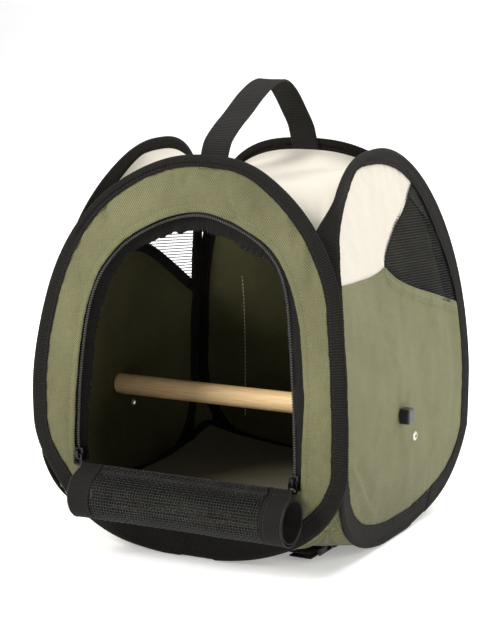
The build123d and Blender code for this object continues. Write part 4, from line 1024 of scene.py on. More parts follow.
def side_wall(side):
    outer = CUT[side]
    disp = side_disp(side)
    HEM_C, LOW_C = HEM_S[side], LOW_S[side]
    low = lambda u: np.interp(u, LOW_C[:, 0], LOW_C[:, 1])
    up = lambda u: np.interp(u, UP_C[:, 0], UP_C[:, 1])
    clip = lambda line: line[inside(outer, line[:, 0], line[:, 1])]
    e_low = clip(resample(LOW_C, step=1.6)[0])
    e_up = clip(resample(UP_C, step=1.6)[0])
    # lower: with holes for the screw and the eyelet
    th = np.linspace(0, 2 * math.pi, 21)[:-1]
    h1 = np.stack([PERCH_Y + 3.0 * np.cos(th), PERCH_Z + 3.0 * np.sin(th)], 1)
    h2 = np.stack([14.0 + 2.5 * np.cos(th), 84.0 + 2.5 * np.sin(th)], 1)
    keep = lambda x, y: inside(outer, x, y) & (y < low(x)) & ~inside(h1, x, y) & ~inside(h2, x, y)
    hq = resample(HEM_C, step=1.0)[0]
    hn = normals2(hq)
    hems = []
    for off in (1.1, 2.2, 3.3, 6.3, 7.4, 8.5, 9.8):
        l = resample(hq + hn * off, step=2.2)[0]
        l = l[(l[:, 0] > -16.0) & inside(inset(side, PANEL_IN + 1.2, 240), l[:, 0], l[:, 1]) & (l[:, 1] < low(l[:, 0]) - 0.4)]
        hems.append(l)
    v, f = flat_cut([outer, h1, h2], [e_low] + hems, keep, 2.8 * FINE)
    a = cloth_solid(side, v, f, CLOTH_D, 0.95, disp, "side_cloth_" + side, [OLIVE, OLIVE_INNER_SHADED], inner_mat=1)
    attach(a, "carrier")
    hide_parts("side_panel_lower_" + side)
    declare_cut(v, f)
    # upper front, cream
    keep = lambda x, y: inside(outer, x, y) & (y > up(x)) & (x < 84)
    v, f = flat_cut([outer], [e_up], keep, 2.8 * FINE)
    b = cloth_solid(side, v, f, CLOTH_D + 0.12, 0.9, disp, "side_cream_" + side, [CREAM])
    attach(b, "carrier")
    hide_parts("side_panel_upper_" + side)
    declare_cut(v, f)
    # the net: coated strands both ways
    rot = math.radians(-6.0 if side == "left" else -4.0)
    ca, sa = math.cos(rot), math.sin(rot)
    paths, thin = [], []
    pitch = 2.65 if side == "left" else 2.2
    frame_in = inset(side, PANEL_IN, 240)
    okay = lambda x, y: inside(frame_in, x, y) & (y > low(x) - 3.0) & (y < up(x) + 3.0) & (x > -17.5)
    t = np.arange(-160, 160, 1.0)
    for fam in (0, 1):
        for k in np.arange(-160, 330, pitch):
            if fam == 0:
                x, y = t * ca - (k - 200) * sa, 200 + t * sa + (k - 200) * ca
            else:
                tt = t + 40
                x, y = k * ca - tt * sa, 200 + k * sa + tt * ca
            m = okay(x, y)
            if m.sum() < 5:
                continue
            i = np.flatnonzero(m)
            for run in np.split(i, np.flatnonzero(np.diff(i) > 1) + 1):
                if len(run) < 5:
                    continue
                q = resample(np.stack([x[run], y[run]], 1), n=48)[0]
                wave = 0.16 * np.sin(np.arange(48) * 0.9 + k) * (1 if fam else -1)
                hh = disp(q[:, 0], q[:, 1]) * 0.35 + 0.9 * fbm(q[:, 0] / 30.0, q[:, 1] / 30.0, 91) + wave * 0.5 + (0.12 if fam else -0.12)
                # the strands follow the wall's shape a little, with a slow unevenness of their own
                (paths if fam == 0 else thin).append(place(side, q[:, 0], q[:, 1], 1.6 - hh))
    pile = Pile()
    ry, rz, ra_h, ra_v = (0.37, 0.10, 0.49, 0.16) if side == "left" else (0.18, 0.15, 0.42, 0.24)
    for ps, ra, rb in ((np.array(paths), ra_h, ry), (np.array(thin), ra_v, rz)):
        T = np.gradient(ps, axis=1)
        T /= np.linalg.norm(T, axis=-1)[..., None]
        B = np.broadcast_to(OUT[side], ps.shape)
        A = np.cross(T, B)
        co, q = tube(ps, A, B, rb, ra * 0.8, sides=4)
        pile.add(co, q)
    net = pile.make("window_strands_" + side, [NET])
    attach(net, "carrier")
    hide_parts("window_net_" + side)
    gx, gy = np.meshgrid(np.arange(-20, 130, 1.0), np.arange(160, 320, 1.0))
    m = okay(gx.ravel(), gy.ravel())
    # black binding inside along the net's two straight edges
    pile = Pile()
    for line, w in ((HEM_C, 9.0), (DIAG_C, 9.0)):
        q = resample(line, step=RIB / 3)[0]
        q = q[inside(inset(side, PANEL_IN + 1.0, 240), q[:, 0], q[:, 1])]
        nn = normals2(q)
        cols = np.linspace(-0.5, 0.5, 9)
        s = np.arange(len(q)) * RIB / 3
        rib = 0.10 * np.cos(2 * math.pi * s / RIB)[:, None]
        uu = q[:, None, 0] + nn[:, None, 0] * cols[None] * w
        zz = q[:, None, 1] + nn[:, None, 1] * cols[None] * w
        hh = disp(uu, zz) * 0.5 + 0.2 * fbm(uu / 14.0, zz / 14.0, 55)
        bulge = 0.25 * (1 - (2 * cols[None]) ** 2)
        top = place(side, uu, zz, 2.35 - hh * 0.6)
        bot = place(side, uu, zz, 3.05 - hh * 0.6 + bulge + rib)
        n, m = uu.shape
        g = grid_faces(n, m)
        co = np.concatenate([top.reshape(-1, 3), bot.reshape(-1, 3)])
        N = n * m
        i = np.arange(n - 1)
        r1 = np.stack([i * m, (i + 1) * m, (i + 1) * m + N, i * m + N], 1)
        r2 = np.stack([i * m + m - 1 + N, (i + 1) * m + m - 1 + N, (i + 1) * m + m - 1, i * m + m - 1], 1)
        j = np.arange(m - 1)
        r3 = np.stack([j + N, j + 1 + N, j + 1, j], 1)
        o = (n - 1) * m
        r4 = np.stack([o + j, o + j + 1, o + j + 1 + N, o + j + N], 1)
        quads = np.vstack([g[:, ::-1], g + N, r1, r2, r3, r4])
        uv = np.stack([np.repeat(s[:, None], m, 1), np.repeat(cols[None] * w, n, 0)], -1).reshape(-1, 2) * 0.001
        pile.add(co, quads, uv=np.vstack([uv, uv]))
    hm = pile.make("window_binding_" + side, [TAPE])
    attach(hm, "carrier")
    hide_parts("window_hem_" + side)
    # sewn lines
    pile = Pile()
    nn = normals2(resample(HEM_C, step=1.0)[0])
    q = resample(HEM_C, step=1.0)[0]
    for off in (2.2, 7.4):
        l = q + nn * off
        l = l[inside(inset(side, PANEL_IN + 3.5, 240), l[:, 0], l[:, 1]) & (l[:, 0] > -17.5)]
        stitches(pile, place(side, l[:, 0], l[:, 1], CLOTH_D - disp(l[:, 0], l[:, 1])), OUT[side], 2.5, 0.8, 0.25)
    sq = resample(SEAM_C, step=1.0)[0] + normals2(resample(SEAM_C, step=1.0)[0]) * 2.2
    sq = sq[inside(inset(side, PANEL_IN + 3.5, 240), sq[:, 0], sq[:, 1])]
    stitches(pile, place(side, sq[:, 0], sq[:, 1], CLOTH_D - disp(sq[:, 0], sq[:, 1])), OUT[side], 2.5, 0.8, 0.22)
    st = pile.make("side_thread_" + side, [THREAD_OLIVE])
    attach(st, "carrier")
    pile = Pile()
    dq = resample(DIAG_C, step=1.0)[0]
    dn = normals2(dq)
    l = dq - dn * 2.0
    l = l[inside(inset(side, PANEL_IN + 3.5, 240), l[:, 0], l[:, 1]) & (l[:, 0] > -17.5)]
    stitches(pile, place(side, l[:, 0], l[:, 1], CLOTH_D + 0.12 - disp(l[:, 0], l[:, 1])), OUT[side], 2.5, 0.8, 0.22)
    st = pile.make("cream_thread_" + side, [THREAD_CREAM])
    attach(st, "carrier")


for _s in ("left", "right"):
    side_wall(_s)


# ------------------------------------------------------------------ top and bottom cloth
def star_net(top, n=19):
    lift = -10.5 if top else 1.6
    zc = 246.0 if top else 77.0
    d_f, d_s = (5.6, 4.6) if top else (3.6, 3.6)
    half = {}
    for s in OUTLINE:
        p = OUTLINE[s]
        sel = p[(p[:, 1] >= Z_WIDE) if top else (p[:, 1] <= Z_WIDE)]
        for sg in (-1, 1):
            q = sel[sel[:, 0] * sg >= -1.0]
            q = q[np.argsort(np.abs(q[:, 0]))]
            half[s, sg] = (np.abs(q[:, 0]), q[:, 1])

    def edge_z(side, u):
        a, b = half[side, 1 if u >= 0 else -1]
        return float(np.interp(abs(u), a, b)) + lift
    tuck = -0.6 if top else 1.4                                      # the bottom's corners run on into the bindings
    xc, yc = float(n_lr(zc)) - d_s + tuck, float(n_fb(zc)) - d_f + tuck
    v = np.sin(np.linspace(-math.pi / 2, math.pi / 2, n)) * 0.35 + np.linspace(-1, 1, n) * 0.65
    g = np.zeros((n, n, 3))
    for i, t in enumerate(v):
        fade = max(0.0, 1 - (1 - abs(t)) / 0.16) ** 2
        for row, side, sg in ((0, "front", -1), (-1, "back", 1)):
            x = t * xc - (9.5 * fade if top and row == 0 and t > 0 else 0)
            z = edge_z(side, x) * (1 - fade) + zc * fade
            y = (float(n_fb(z)) - d_f) * (1 - fade) + yc * fade
            g[row, i] = (x, sg * y, z)
        for col, side, sg in ((0, "left", -1), (-1, "right", 1)):
            y = t * yc
            z = edge_z(side, y) * (1 - fade) + zc * fade
            if top and col == 0:
                z -= 9.0 * float(smooth01((-y - 26.0) / 40.0)) * (1 - fade)
            x = (float(n_lr(z)) - d_s) * (1 - fade) + (xc - (9.5 if top and col == -1 and t < 0 else 0)) * fade
            g[i, col] = (sg * x, y, z)
    a = np.linspace(0, 1, n)
    for i in range(1, n - 1):
        for j in range(1, n - 1):
            g[i, j] = (g[i, 0] * (1 - a[j]) + g[i, -1] * a[j] + g[0, j] * (1 - a[i]) + g[-1, j] * a[i]) / 2
    for _ in range(1500):
        avg = (g[:-2, 1:-1] + g[2:, 1:-1] + g[1:-1, :-2] + g[1:-1, 2:]) / 4
        if not top:
            avg[..., 2] = np.maximum(avg[..., 2] - 0.9, 9.2)
        g[1:-1, 1:-1] = avg
    return g


def refine(g, per):
    """A finer grid through the same points."""
    def along(h):
        n = h.shape[0]
        e = np.concatenate([2 * h[:1] - h[1:2], h, 2 * h[-1:] - h[-2:-1]])
        out = []
        for i in range(n - 1):
            a, b, c, d = e[i], e[i + 1], e[i + 2], e[i + 3]
            for t in np.linspace(0, 1, per, endpoint=False):
                out.append(0.5 * (2 * b + (c - a) * t + (2 * a - 5 * b + 4 * c - d) * t * t + (3 * b - 3 * c + d - a) * t ** 3))
        out.append(h[-1])
        return np.array(out)
    h = along(g)
    return np.swapaxes(along(np.swapaxes(h, 0, 1)), 0, 1)


def grid_solid(name, g, thick, push, mats, up_sign, under=0):
    """A sheet from a grid of points: push moves it along its normal, thick is added on the far side."""
    n, m, _ = g.shape
    gu, gv = np.gradient(g, axis=0), np.gradient(g, axis=1)
    nn = np.cross(gv, gu)
    nn /= np.linalg.norm(nn, axis=-1)[..., None] + 1e-9
    if (nn[..., 2].mean() > 0) != (up_sign > 0):
        nn = -nn
    g = g + nn * push[..., None]
    g[..., 2] = np.maximum(g[..., 2], 0.25)
    b = g - nn * thick
    b[..., 2] = np.maximum(b[..., 2], 0.25)
    co = np.concatenate([g.reshape(-1, 3), b.reshape(-1, 3)])
    q = grid_faces(n, m)
    N = n * m
    c = np.cross(g[1, 0] - g[0, 0], g[0, 1] - g[0, 0])
    if c @ nn[0, 0] < 0:
        q = q[:, ::-1]
    ring = np.concatenate([np.arange(m), np.arange(1, n) * m + m - 1, (n - 1) * m + np.arange(m - 2, -1, -1), np.arange(n - 2, 0, -1) * m])
    nxt = np.roll(ring, -1)
    rim = np.stack([ring, nxt, nxt + N, ring + N], 1)
    area = 0.5 * np.linalg.norm(np.cross(g[1:, 1:] - g[:-1, :-1], g[1:, :-1] - g[:-1, 1:]), axis=-1).sum()
    uv = np.stack([g[..., 0], g[..., 1]], -1).reshape(-1, 2) * 0.001
    which = np.concatenate([np.zeros(len(q), int), np.full(len(q), under), np.zeros(len(rim), int)])
    ob = make_mesh(name, co, np.vstack([q, q[:, ::-1] + N, rim]), uv=np.vstack([uv, uv]), mats=mats, midx_q=which)
    return ob, area


def top_cloth():
    g = refine(star_net(True), 9)
    x, y = g[..., 0], g[..., 1]
    n = g.shape[0]
    a = np.linspace(-1, 1, n)
    A, B = np.meshgrid(a, a, indexing="ij")
    edge = np.minimum(1 - np.abs(A), 1 - np.abs(B))
    push = 0.9 * fbm(x / 46.0, y / 46.0, 101) * smooth01(edge / 0.2)
    # tension folds run in from the corners and along the hoops
    for sx in (-1, 1):
        for sy in (-1, 1):
            r = np.hypot(x - sx * 104, y - sy * 104)
            ang = np.arctan2(y - sy * 104, x - sx * 104)
            push = push + 0.55 * np.exp(-(r / 46.0) ** 2) * np.sin(ang * 15 + sx + 2 * sy)
    push = push + 0.28 * np.exp(-edge / 0.08) * np.sin(26 * (A * (np.abs(B) > np.abs(A)) + B * (np.abs(B) <= np.abs(A))) + 1.5 * vnoise(x / 15.0, y / 15.0, 7)) * smooth01(edge / 0.02)
    ob, area = grid_solid("top_cloth", g, 0.9, push, [CREAM, CREAM_INNER_SHADED], 1, 1)
    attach(ob, "carrier")
    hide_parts("top_panel")


def bottom_cloth():
    g = refine(star_net(False), 9)
    x, y = g[..., 0], g[..., 1]
    n = g.shape[0]
    a = np.linspace(-1, 1, n)
    A, B = np.meshgrid(a, a, indexing="ij")
    edge = np.minimum(1 - np.abs(A), 1 - np.abs(B))
    push = (1.6 * fbm(x / 30.0, y / 30.0, 111) + 0.5 * fbm(x / 11.0, y / 11.0, 112)) * smooth01(edge / 0.12)
    for sx in (-1, 1):
        for sy in (-1, 1):
            r = np.hypot(x - sx * 118, y - sy * 118)
            ang = np.arctan2(y - sy * 118, x - sx * 118)
            push = push + 0.9 * np.exp(-(r / 40.0) ** 2) * np.sin(ang * 13 + sx + 2 * sy)
    ob, area = grid_solid("bottom_cloth", g, 0.9, push, [OLIVE, OLIVE_INNER_SHADED], -1, 1)
    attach(ob, "carrier")
    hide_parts("bottom_panel")


top_cloth()
bottom_cloth()


# ------------------------------------------------------------------ the covered board inside
def floor_board():
    n = 121
    B = 116.2
    t = np.linspace(-B, B, n)
    X, Y = np.meshgrid(t, t, indexing="ij")
    # corners rounded off
    r = 10.0
    ax, ay = np.abs(X), np.abs(Y)
    cx, cy = np.maximum(ax - (B - r), 0), np.maximum(ay - (B - r), 0)
    m = np.maximum(cx, cy)
    L = np.hypot(cx, cy)
    f = np.where(L > 1e-6, m / np.maximum(L, 1e-6), 1.0)
    X = np.sign(X) * (np.minimum(ax, B - r) + cx * f)
    Y = np.sign(Y) * (np.minimum(ay, B - r) + cy * f)
    base = 30.0 + 18.0 * (X / 117) ** 2 * (Y / 117) ** 2
    edge = B - np.maximum(np.abs(X), np.abs(Y))
    pad = 3.0 - 1.1 * (1 - smooth01(edge / 3.0))
    wr = 0.55 * fbm(X / 26.0, Y / 26.0, 121) * smooth01(edge / 12) + 0.14 * fbm(X / 9.0, Y / 9.0, 122)
    wr = wr + ridge(X, Y, [(-90, -20), (-40, 6), (10, -6)], 4.0, 0.5) + ridge(X, Y, [(20, 60), (60, 30), (90, 34)], 5.0, 0.5)
    top = np.stack([X, Y, base + pad + np.maximum(wr, -0.8)], -1)
    bot = np.stack([X, Y, base + 0.8 * (1 - smooth01(edge / 2.0))], -1)
    N = n * n
    q = grid_faces(n, n)
    ring = np.concatenate([np.arange(n), np.arange(1, n) * n + n - 1, (n - 1) * n + np.arange(n - 2, -1, -1), np.arange(n - 2, 0, -1) * n])
    nxt = np.roll(ring, -1)
    rim = np.stack([nxt, ring, ring + N, nxt + N], 1)
    uv = np.stack([X, Y], -1).reshape(-1, 2) * 0.001
    ob = make_mesh("floor_board", np.concatenate([top.reshape(-1, 3), bot.reshape(-1, 3)]), np.vstack([q, q[:, ::-1] + N, rim[:, ::-1]]), uv=np.vstack([uv, uv]), mats=[OLIVE_IN])
    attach(ob, "carrier")
    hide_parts("base_board")
    # black binding sewn round the board's rim
    c = B - 0.2
    loop = []
    for sx, sy, a0 in ((1, 1, 0), (-1, 1, 90), (-1, -1, 180), (1, -1, 270)):
        for k in range(9):
            a = math.radians(a0 + k * 11.25)
            loop.append((sx * (c - r) + r * math.cos(a), sy * (c - r) + r * math.sin(a)))
    p, s, Lt = resample(np.array(loop), step=RIB / 2, closed=True)
    for _ in range(6):
        p = p * 0.5 + (np.roll(p, 1, 0) + np.roll(p, -1, 0)) * 0.25
    nn = normals2(p, True)
    if (nn * p).sum() < 0:
        nn = -nn
    w = 7.0 + 1.0 * vnoise(s / 24.0, 0.2, 131) + 0.5 * vnoise(s / 8.0, 0.9, 132)
    sec = [(-1.0, 3.2, 0), (-0.55, 3.75, 0), (-0.2, 3.9, 0), (0, 3.5, 0.55), (0, 1.6, 0.9), (0, -0.1, 0.5), (-0.2, -0.55, 0), (-0.6, -0.5, 0), (-1.0, -0.1, 0)]
    cols = []
    for a, h, o in sec:
        q2 = p + nn * (a * w + o)[:, None] if True else p
        z = 30.0 + 18.0 * (q2[:, 0] / 117) ** 2 * (q2[:, 1] / 117) ** 2 + h + 0.22 * vnoise(s / 13.0, a * 3.0, 133)
        cols.append(np.column_stack([q2, z]))
    co = np.stack(cols, 1)
    nrow = len(p)
    q = grid_faces(nrow, len(sec), closed_n=True, closed_m=True)
    uv = np.stack([np.repeat(s[:, None], len(sec), 1), np.repeat(np.linspace(0, 18, len(sec))[None], nrow, 0)], -1) * 0.001
    bd = make_mesh("board_binding", co, q, uv=uv, mats=[TAPE])
    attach(bd, "carrier")


floor_board()


# ------------------------------------------------------------------ strips, zip
def strip_solid(name_or_pile, centre, across, out, half_a, half_b, thick, mat=0, rib=RIB, s_scale=1.0, cols=9, wav=None, ribamp=0.10):
    """A flat strip along a 3-D line: across and out are unit directions at each point, half_a and half_b how far it reaches each way."""
    c = np.asarray(centre, float)
    n = len(c)
    s = np.concatenate([[0], np.cumsum(np.linalg.norm(np.diff(c, axis=0), axis=1))])
    t = np.linspace(-1, 1, cols)
    w = np.where(t[None] < 0, t[None] * np.broadcast_to(half_a, (n,))[:, None], t[None] * np.broadcast_to(half_b, (n,))[:, None])
    P = c[:, None] + across[:, None] * w[..., None]
    if wav is not None:
        P = P + out[:, None] * wav(s[:, None], w)[..., None]
    r = ribamp * np.cos(2 * math.pi * s / rib)[:, None]
    lip = 1 - 0.55 * np.clip((np.abs(t) - 0.75) / 0.25, 0, 1)[None] ** 2
    top = P + out[:, None] * (thick / 2 * lip + r)[..., None]
    bot = P - out[:, None] * (thick / 2 * lip + r)[..., None]
    N = n * cols
    g = grid_faces(n, cols)
    i, j = np.arange(n - 1), np.arange(cols - 1)
    m = cols
    r1 = np.stack([i * m, (i + 1) * m, (i + 1) * m + N, i * m + N], 1)
    r2 = np.stack([i * m + m - 1 + N, (i + 1) * m + m - 1 + N, (i + 1) * m + m - 1, i * m + m - 1], 1)
    r3 = np.stack([j + N, j + 1 + N, j + 1, j], 1)
    o = (n - 1) * m
    r4 = np.stack([o + j, o + j + 1, o + j + 1 + N, o + j + N], 1)
    quads = np.vstack([g[:, ::-1], g + N, r1, r2, r3, r4])
    uv = np.stack([np.repeat(s[:, None], cols, 1) * s_scale, w], -1).reshape(-1, 2) * 0.001
    name_or_pile.add(np.concatenate([top.reshape(-1, 3), bot.reshape(-1, 3)]), quads, uv=np.vstack([uv, uv]), mat=mat)


def coil(pile, line, out, across, ru=1.15, rd=0.95, wire=0.30, pitch=1.45, mat=0, per=11, sides=5):
    """Zip teeth: one wire wound along a line."""
    c = np.asarray(line, float)
    q, s, L = resample(np.hstack([c, np.broadcast_to(out, c.shape), np.broadcast_to(across, c.shape)]), step=pitch / per)
    C, O, A = q[:, :3], q[:, 3:6], q[:, 6:]
    O = O / np.linalg.norm(O, axis=1)[:, None]
    A = A / np.linalg.norm(A, axis=1)[:, None]
    ph = 2 * math.pi * s / pitch
    cu, sd = np.cos(ph), np.sin(ph)
    cu = np.sign(cu) * np.abs(cu) ** 0.75
    P = C + A * (ru * cu)[:, None] + O * (rd * sd)[:, None]
    T, a1, b1 = frames3(P, ref=O + 0.001)
    co, quads = tube(P, a1, b1, wire, wire, sides=sides, caps=False)
    pile.add(co, quads, mat=mat)
    # the cord that the teeth wind round
    co, quads = tube(C[::3], A[::3], O[::3], 0.55, 0.45, sides=6, caps=False)
    pile.add(co, quads, mat=1)


def zip_and_facing():
    line = COIL_LINE
    # the part of the leg that shows above the sill
    q, s, L = resample(line, step=RIB / 3)
    nn = -normals2(q)
    gap = np.interp(s / L, np.linspace(0, 1, len(GAP)), GAP)
    c = place("front", q[:, 0], q[:, 1], 2.7)
    ac = place("front", q[:, 0] + nn[:, 0], q[:, 1] + nn[:, 1], 2.7) - c
    ac /= np.linalg.norm(ac, axis=1)[:, None]
    T = np.gradient(c, axis=0)
    T /= np.linalg.norm(T, axis=1)[:, None]
    out = np.cross(T, ac)
    out *= np.sign((out * OUT["front"]).sum(1))[:, None]
    pile = Pile()
    strip_solid(pile, c + out * 0.1, ac, out, -0.3, gap + 6.0, 0.7, rib=1.1, wav=lambda ss, w: 0.25 * vnoise(ss / 17.0, w / 6.0, 141) - 0.08 * np.abs(w), ribamp=0.06)
    # the teeth take the lighter grey: painted highlight on the coil's turns
    coil(pile, c + out * 0.35, out, ac, ru=0.95, rd=0.8, wire=0.30, pitch=2.0, mat=2)
    zp = pile.make("zip_chain", [TAPE_FINE, COIL, COIL_TEETH_GLINT])
    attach(zp, "carrier")
    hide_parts("zip_stringer")
    # facing: behind the zip, its free edge stands into the cabin
    pile = Pile()
    cols = np.array([14.0, 9.0, 4.0, 1.0, -1.5, -3.6, -5.2])
    dep = np.array([3.7, 4.2, 5.0, 6.6, 8.4, 10.4, 12.2])
    k = len(cols)
    jag = 1.1 * vnoise(s / 2.4, 0.3, 151) + 1.1 * vnoise(s / 9.0, 0.6, 152)
    free = np.linspace(0, 1, k)[None] ** 2
    deep = np.interp(s / L, [0, 0.18, 0.34, 0.44, 0.52, 0.60, 0.68, 0.8, 1.0], [0.5, 0.75, 1.35, 2.2, 2.6, 2.4, 1.3, 1.0, 1.0])
    off = np.where(cols[None] < 0, cols[None] * deep[:, None], cols[None]) - jag[:, None] * free
    dd = dep[None] + (0.8 * vnoise(s / 14.0, 0.9, 153)[:, None] + 0.4 * vnoise(s / 5.0, 0.1, 154)[:, None]) * free
    uu, zz = q[:, None, 0] + nn[:, None, 0] * off, q[:, None, 1] + nn[:, None, 1] * off
    rib = 0.10 * np.cos(2 * math.pi * s / RIB)[:, None]
    top = place("front", uu, zz, dd - 0.4 - rib)
    bot = place("front", uu - nn[:, None, 0] * 0.3, zz - nn[:, None, 1] * 0.3, dd + 0.45 + rib)
    n = len(q)
    N = n * k
    g = grid_faces(n, k)
    i, j = np.arange(n - 1), np.arange(k - 1)
    o = (n - 1) * k
    r1 = np.stack([i * k, (i + 1) * k, (i + 1) * k + N, i * k + N], 1)
    r2 = np.stack([i * k + k - 1 + N, (i + 1) * k + k - 1 + N, (i + 1) * k + k - 1, i * k + k - 1], 1)
    r3 = np.stack([j + N, j + 1 + N, j + 1, j], 1)
    r4 = np.stack([o + j, o + j + 1, o + j + 1 + N, o + j + N], 1)
    uv = np.stack([np.repeat(s[:, None], k, 1), np.repeat(cols[None], n, 0)], -1).reshape(-1, 2) * 0.001
    quads = np.vstack([g[:, ::-1], g + N, r1, r2, r3, r4])
    a, b, cc = top[n // 2, 2], top[n // 2 + 1, 2], top[n // 2, 3]
    if np.cross(b - a, cc - a) @ OUT["front"] > 0:
        quads = quads[:, ::-1]
    pile.add(np.concatenate([top.reshape(-1, 3), bot.reshape(-1, 3)]), quads, uv=np.vstack([uv, uv]))
    fc = pile.make("door_binding", [FACING])
    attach(fc, "carrier")
    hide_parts("door_facing")


zip_and_facing()


# ------------------------------------------------------------------ the rolled door
def spiral(turn_a=66.0, turn_b=690.0, r0=19.35, r1=16.75):
    """The rolled door's section, from the sill over the top and round inside: points (y, z)."""
    lead = [(-133.9, 66.0), (-135.2, 68.6), (-138.2, 70.2), (-142.0, 70.3)]
    ph = np.radians(np.linspace(turn_a, turn_b, 260))
    f = np.linspace(0, 1, 260)
    r = r0 + (r1 - r0) * smooth01(f * 1.04) + 0.35 * np.sin(2 * ph + 0.8) * (0.4 + 0.6 * f)
    ring = np.stack([ROLL_Y + r * np.cos(ph), ROLL_Z + r * np.sin(ph)], 1)
    p = np.vstack([lead, ring[4:]])
    q = resample(p, step=0.7)[0]
    for _ in range(12):
        q[1:-1] = q[1:-1] * 0.5 + (q[:-2] + q[2:]) * 0.25
    return q


def door_roll():
    sp = spiral()
    q, s, L = resample(sp, step=2.4)
    nn = normals2(q)
    cen = np.array([ROLL_Y, ROLL_Z])
    if ((q - cen) * nn)[20:].sum() < 0:
        nn = -nn
    xs = np.arange(ROLL_X0 + CUFF_L - 1.4, ROLL_X1 - CUFF_R + 1.5, 2.55)
    lead = lambda S: -9.0 * (1 - smooth01(S / 30.0))                    # the door leaves the sill a little to one side of the roll
    X, S = np.meshgrid(xs, s, indexing="ij")
    soft = 0.45 * fbm(X / 26.0, S / 16.0, 161) + 0.16 * vnoise(X / 5.0, S / 5.0, 162)
    fade = smooth01((S - 2) / 14)
    Y = q[None, :, 0] + nn[None, :, 0] * soft * fade
    Z = q[None, :, 1] + nn[None, :, 1] * soft * fade
    Xw = X + 0.35 * vnoise(X / 20.0, S / 9.0, 163) + lead(S) + 0.0115 * S          # each turn lies half a mesh over from the last
    G = np.stack([Xw, Y, Z], -1)
    O = np.broadcast_to(np.stack([np.zeros(len(q)), nn[:, 0], nn[:, 1]], 1)[None], G.shape)
    pile = Pile()
    # round the roll
    T = np.gradient(G, axis=1)
    T /= np.linalg.norm(T, axis=-1)[..., None]
    A = np.cross(T, O)
    par = (np.arange(G.shape[0])[:, None] + np.arange(G.shape[1])[None]) % 2 * 2 - 1
    co, f = tube(G + O * (0.14 * par)[..., None], A, O, 0.34, 0.29)
    pile.add(co, f)
    # along the roll
    G2, O2 = np.swapaxes(G, 0, 1), np.swapaxes(O, 0, 1)
    T2 = np.gradient(G2, axis=1)
    T2 /= np.linalg.norm(T2, axis=-1)[..., None]
    A2 = np.cross(T2, O2)
    co, f = tube(G2 - O2 * (0.14 * par.T)[..., None], A2, O2, 0.30, 0.28)
    pile.add(co, f)
    ob = pile.make("door_net", [NET_ROLL])
    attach(ob, "door")
    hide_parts("door_roll")
    # cuffs at the two ends, with the door's half of the zip along their outer edge
    for side, sg in (("left", -1), ("right", 1)):
        c, sc, _ = resample(sp, step=0.7)
        cn = normals2(c)
        if ((c - cen) * cn)[60:].sum() < 0:
            cn = -cn
        x0 = -(ROLL_X0 + CUFF_L) - 0.8 if sg < 0 else ROLL_X1 - CUFF_R - 0.8
        x1 = -ROLL_X0 + 0.3 if sg < 0 else ROLL_X1 + 0.3
        x = np.arange(x0, x1, 0.45)
        rib = 0.085 * np.cos(2 * math.pi * x / 1.35)
        fold = np.where(x < x0 + 2.2, 0.28, 0.0) - 0.22 * np.exp(-((x - x0 - 3.4) / 0.5) ** 2)
        X, S = np.meshgrid(x, sc, indexing="ij")
        wav = 0.40 * fbm(X / 26.0, S / 16.0, 161) * smooth01((S - 2) / 14) + 0.12 * vnoise(X / 9.0, S / 7.0, 171)
        flare = 0.5 * smooth01((X - x1 + 8) / 8) * vnoise(S / 13.0, 0.5, 172 + sg)
        h = wav + flare
        top_h, bot_h = h + 0.45 + (rib + fold)[:, None], h - 0.35
        mk = lambda hh: np.stack([sg * X + lead(S), c[None, :, 0] + cn[None, :, 0] * hh, c[None, :, 1] + cn[None, :, 1] * hh], -1)
        a, b = mk(top_h), mk(bot_h)
        n, m = X.shape
        N = n * m
        g = grid_faces(n, m)
        ring = np.concatenate([np.arange(m), np.arange(1, n) * m + m - 1, (n - 1) * m + np.arange(m - 2, -1, -1), np.arange(n - 2, 0, -1) * m])
        nxt = np.roll(ring, -1)
        rim = np.stack([ring, nxt, nxt + N, ring + N], 1)
        quads = np.vstack([g, g[:, ::-1] + N, rim])
        e1, e2 = a[1, m // 2] - a[0, m // 2], a[0, m // 2 + 1] - a[0, m // 2]
        if np.cross(e1, e2) @ np.array([0, cn[m // 2, 0], cn[m // 2, 1]]) < 0:
            quads = quads[:, ::-1]
        uv = np.stack([X, S], -1).reshape(-1, 2) * 0.001
        pile = Pile()
        pile.add(np.concatenate([a.reshape(-1, 3), b.reshape(-1, 3)]), quads, uv=np.vstack([uv, uv]))
        edge = (a[-1] + b[-1]) / 2
        On = np.stack([np.zeros(m), cn[:, 0], cn[:, 1]], 1)
        Ax = np.broadcast_to(np.array([sg * 1.0, 0, 0]), On.shape)
        coil(pile, edge + Ax * 0.4, On, Ax, ru=0.6, rd=0.5, wire=0.22, pitch=1.6, mat=1)
        st = a[np.argmin(np.abs(x - x0 - 3.4))]
        stitches(pile, st, On, 2.2, 0.8, 0.26, lift=0.16, mat=3)
        cf = pile.make("door_edge_" + side, [TAPE_FINE, COIL, COIL_TEETH_GLINT, THREAD_BLACK])
        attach(cf, "door")
        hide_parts("door_cuff_" + side)


def sill_tape():
    x = np.arange(-93.0, 93.01, RIB / 3)
    c = place("front", x, 63.6 + 0.3 * vnoise(x / 30.0, 0.4, 181), 0.2 + 0.15 * vnoise(x / 17.0, 0.8, 182))
    ac = np.broadcast_to(np.array([0, 0, 1.0]), c.shape)
    out = np.broadcast_to(OUT["front"], c.shape)
    pile = Pile()
    strip_solid(pile, c, ac, out, 4.6, 4.6, 0.8)
    for zz in (60.6, 66.4):
        l = place("front", x, np.full_like(x, zz), -0.3)
        stitches(pile, l, OUT["front"], 2.6, 0.8, 0.24, mat=1)
    ob = pile.make("sill_tape", [TAPE, THREAD_BLACK])
    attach(ob, "carrier")
    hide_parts("door_sill_tape")


sill_tape()
door_roll()


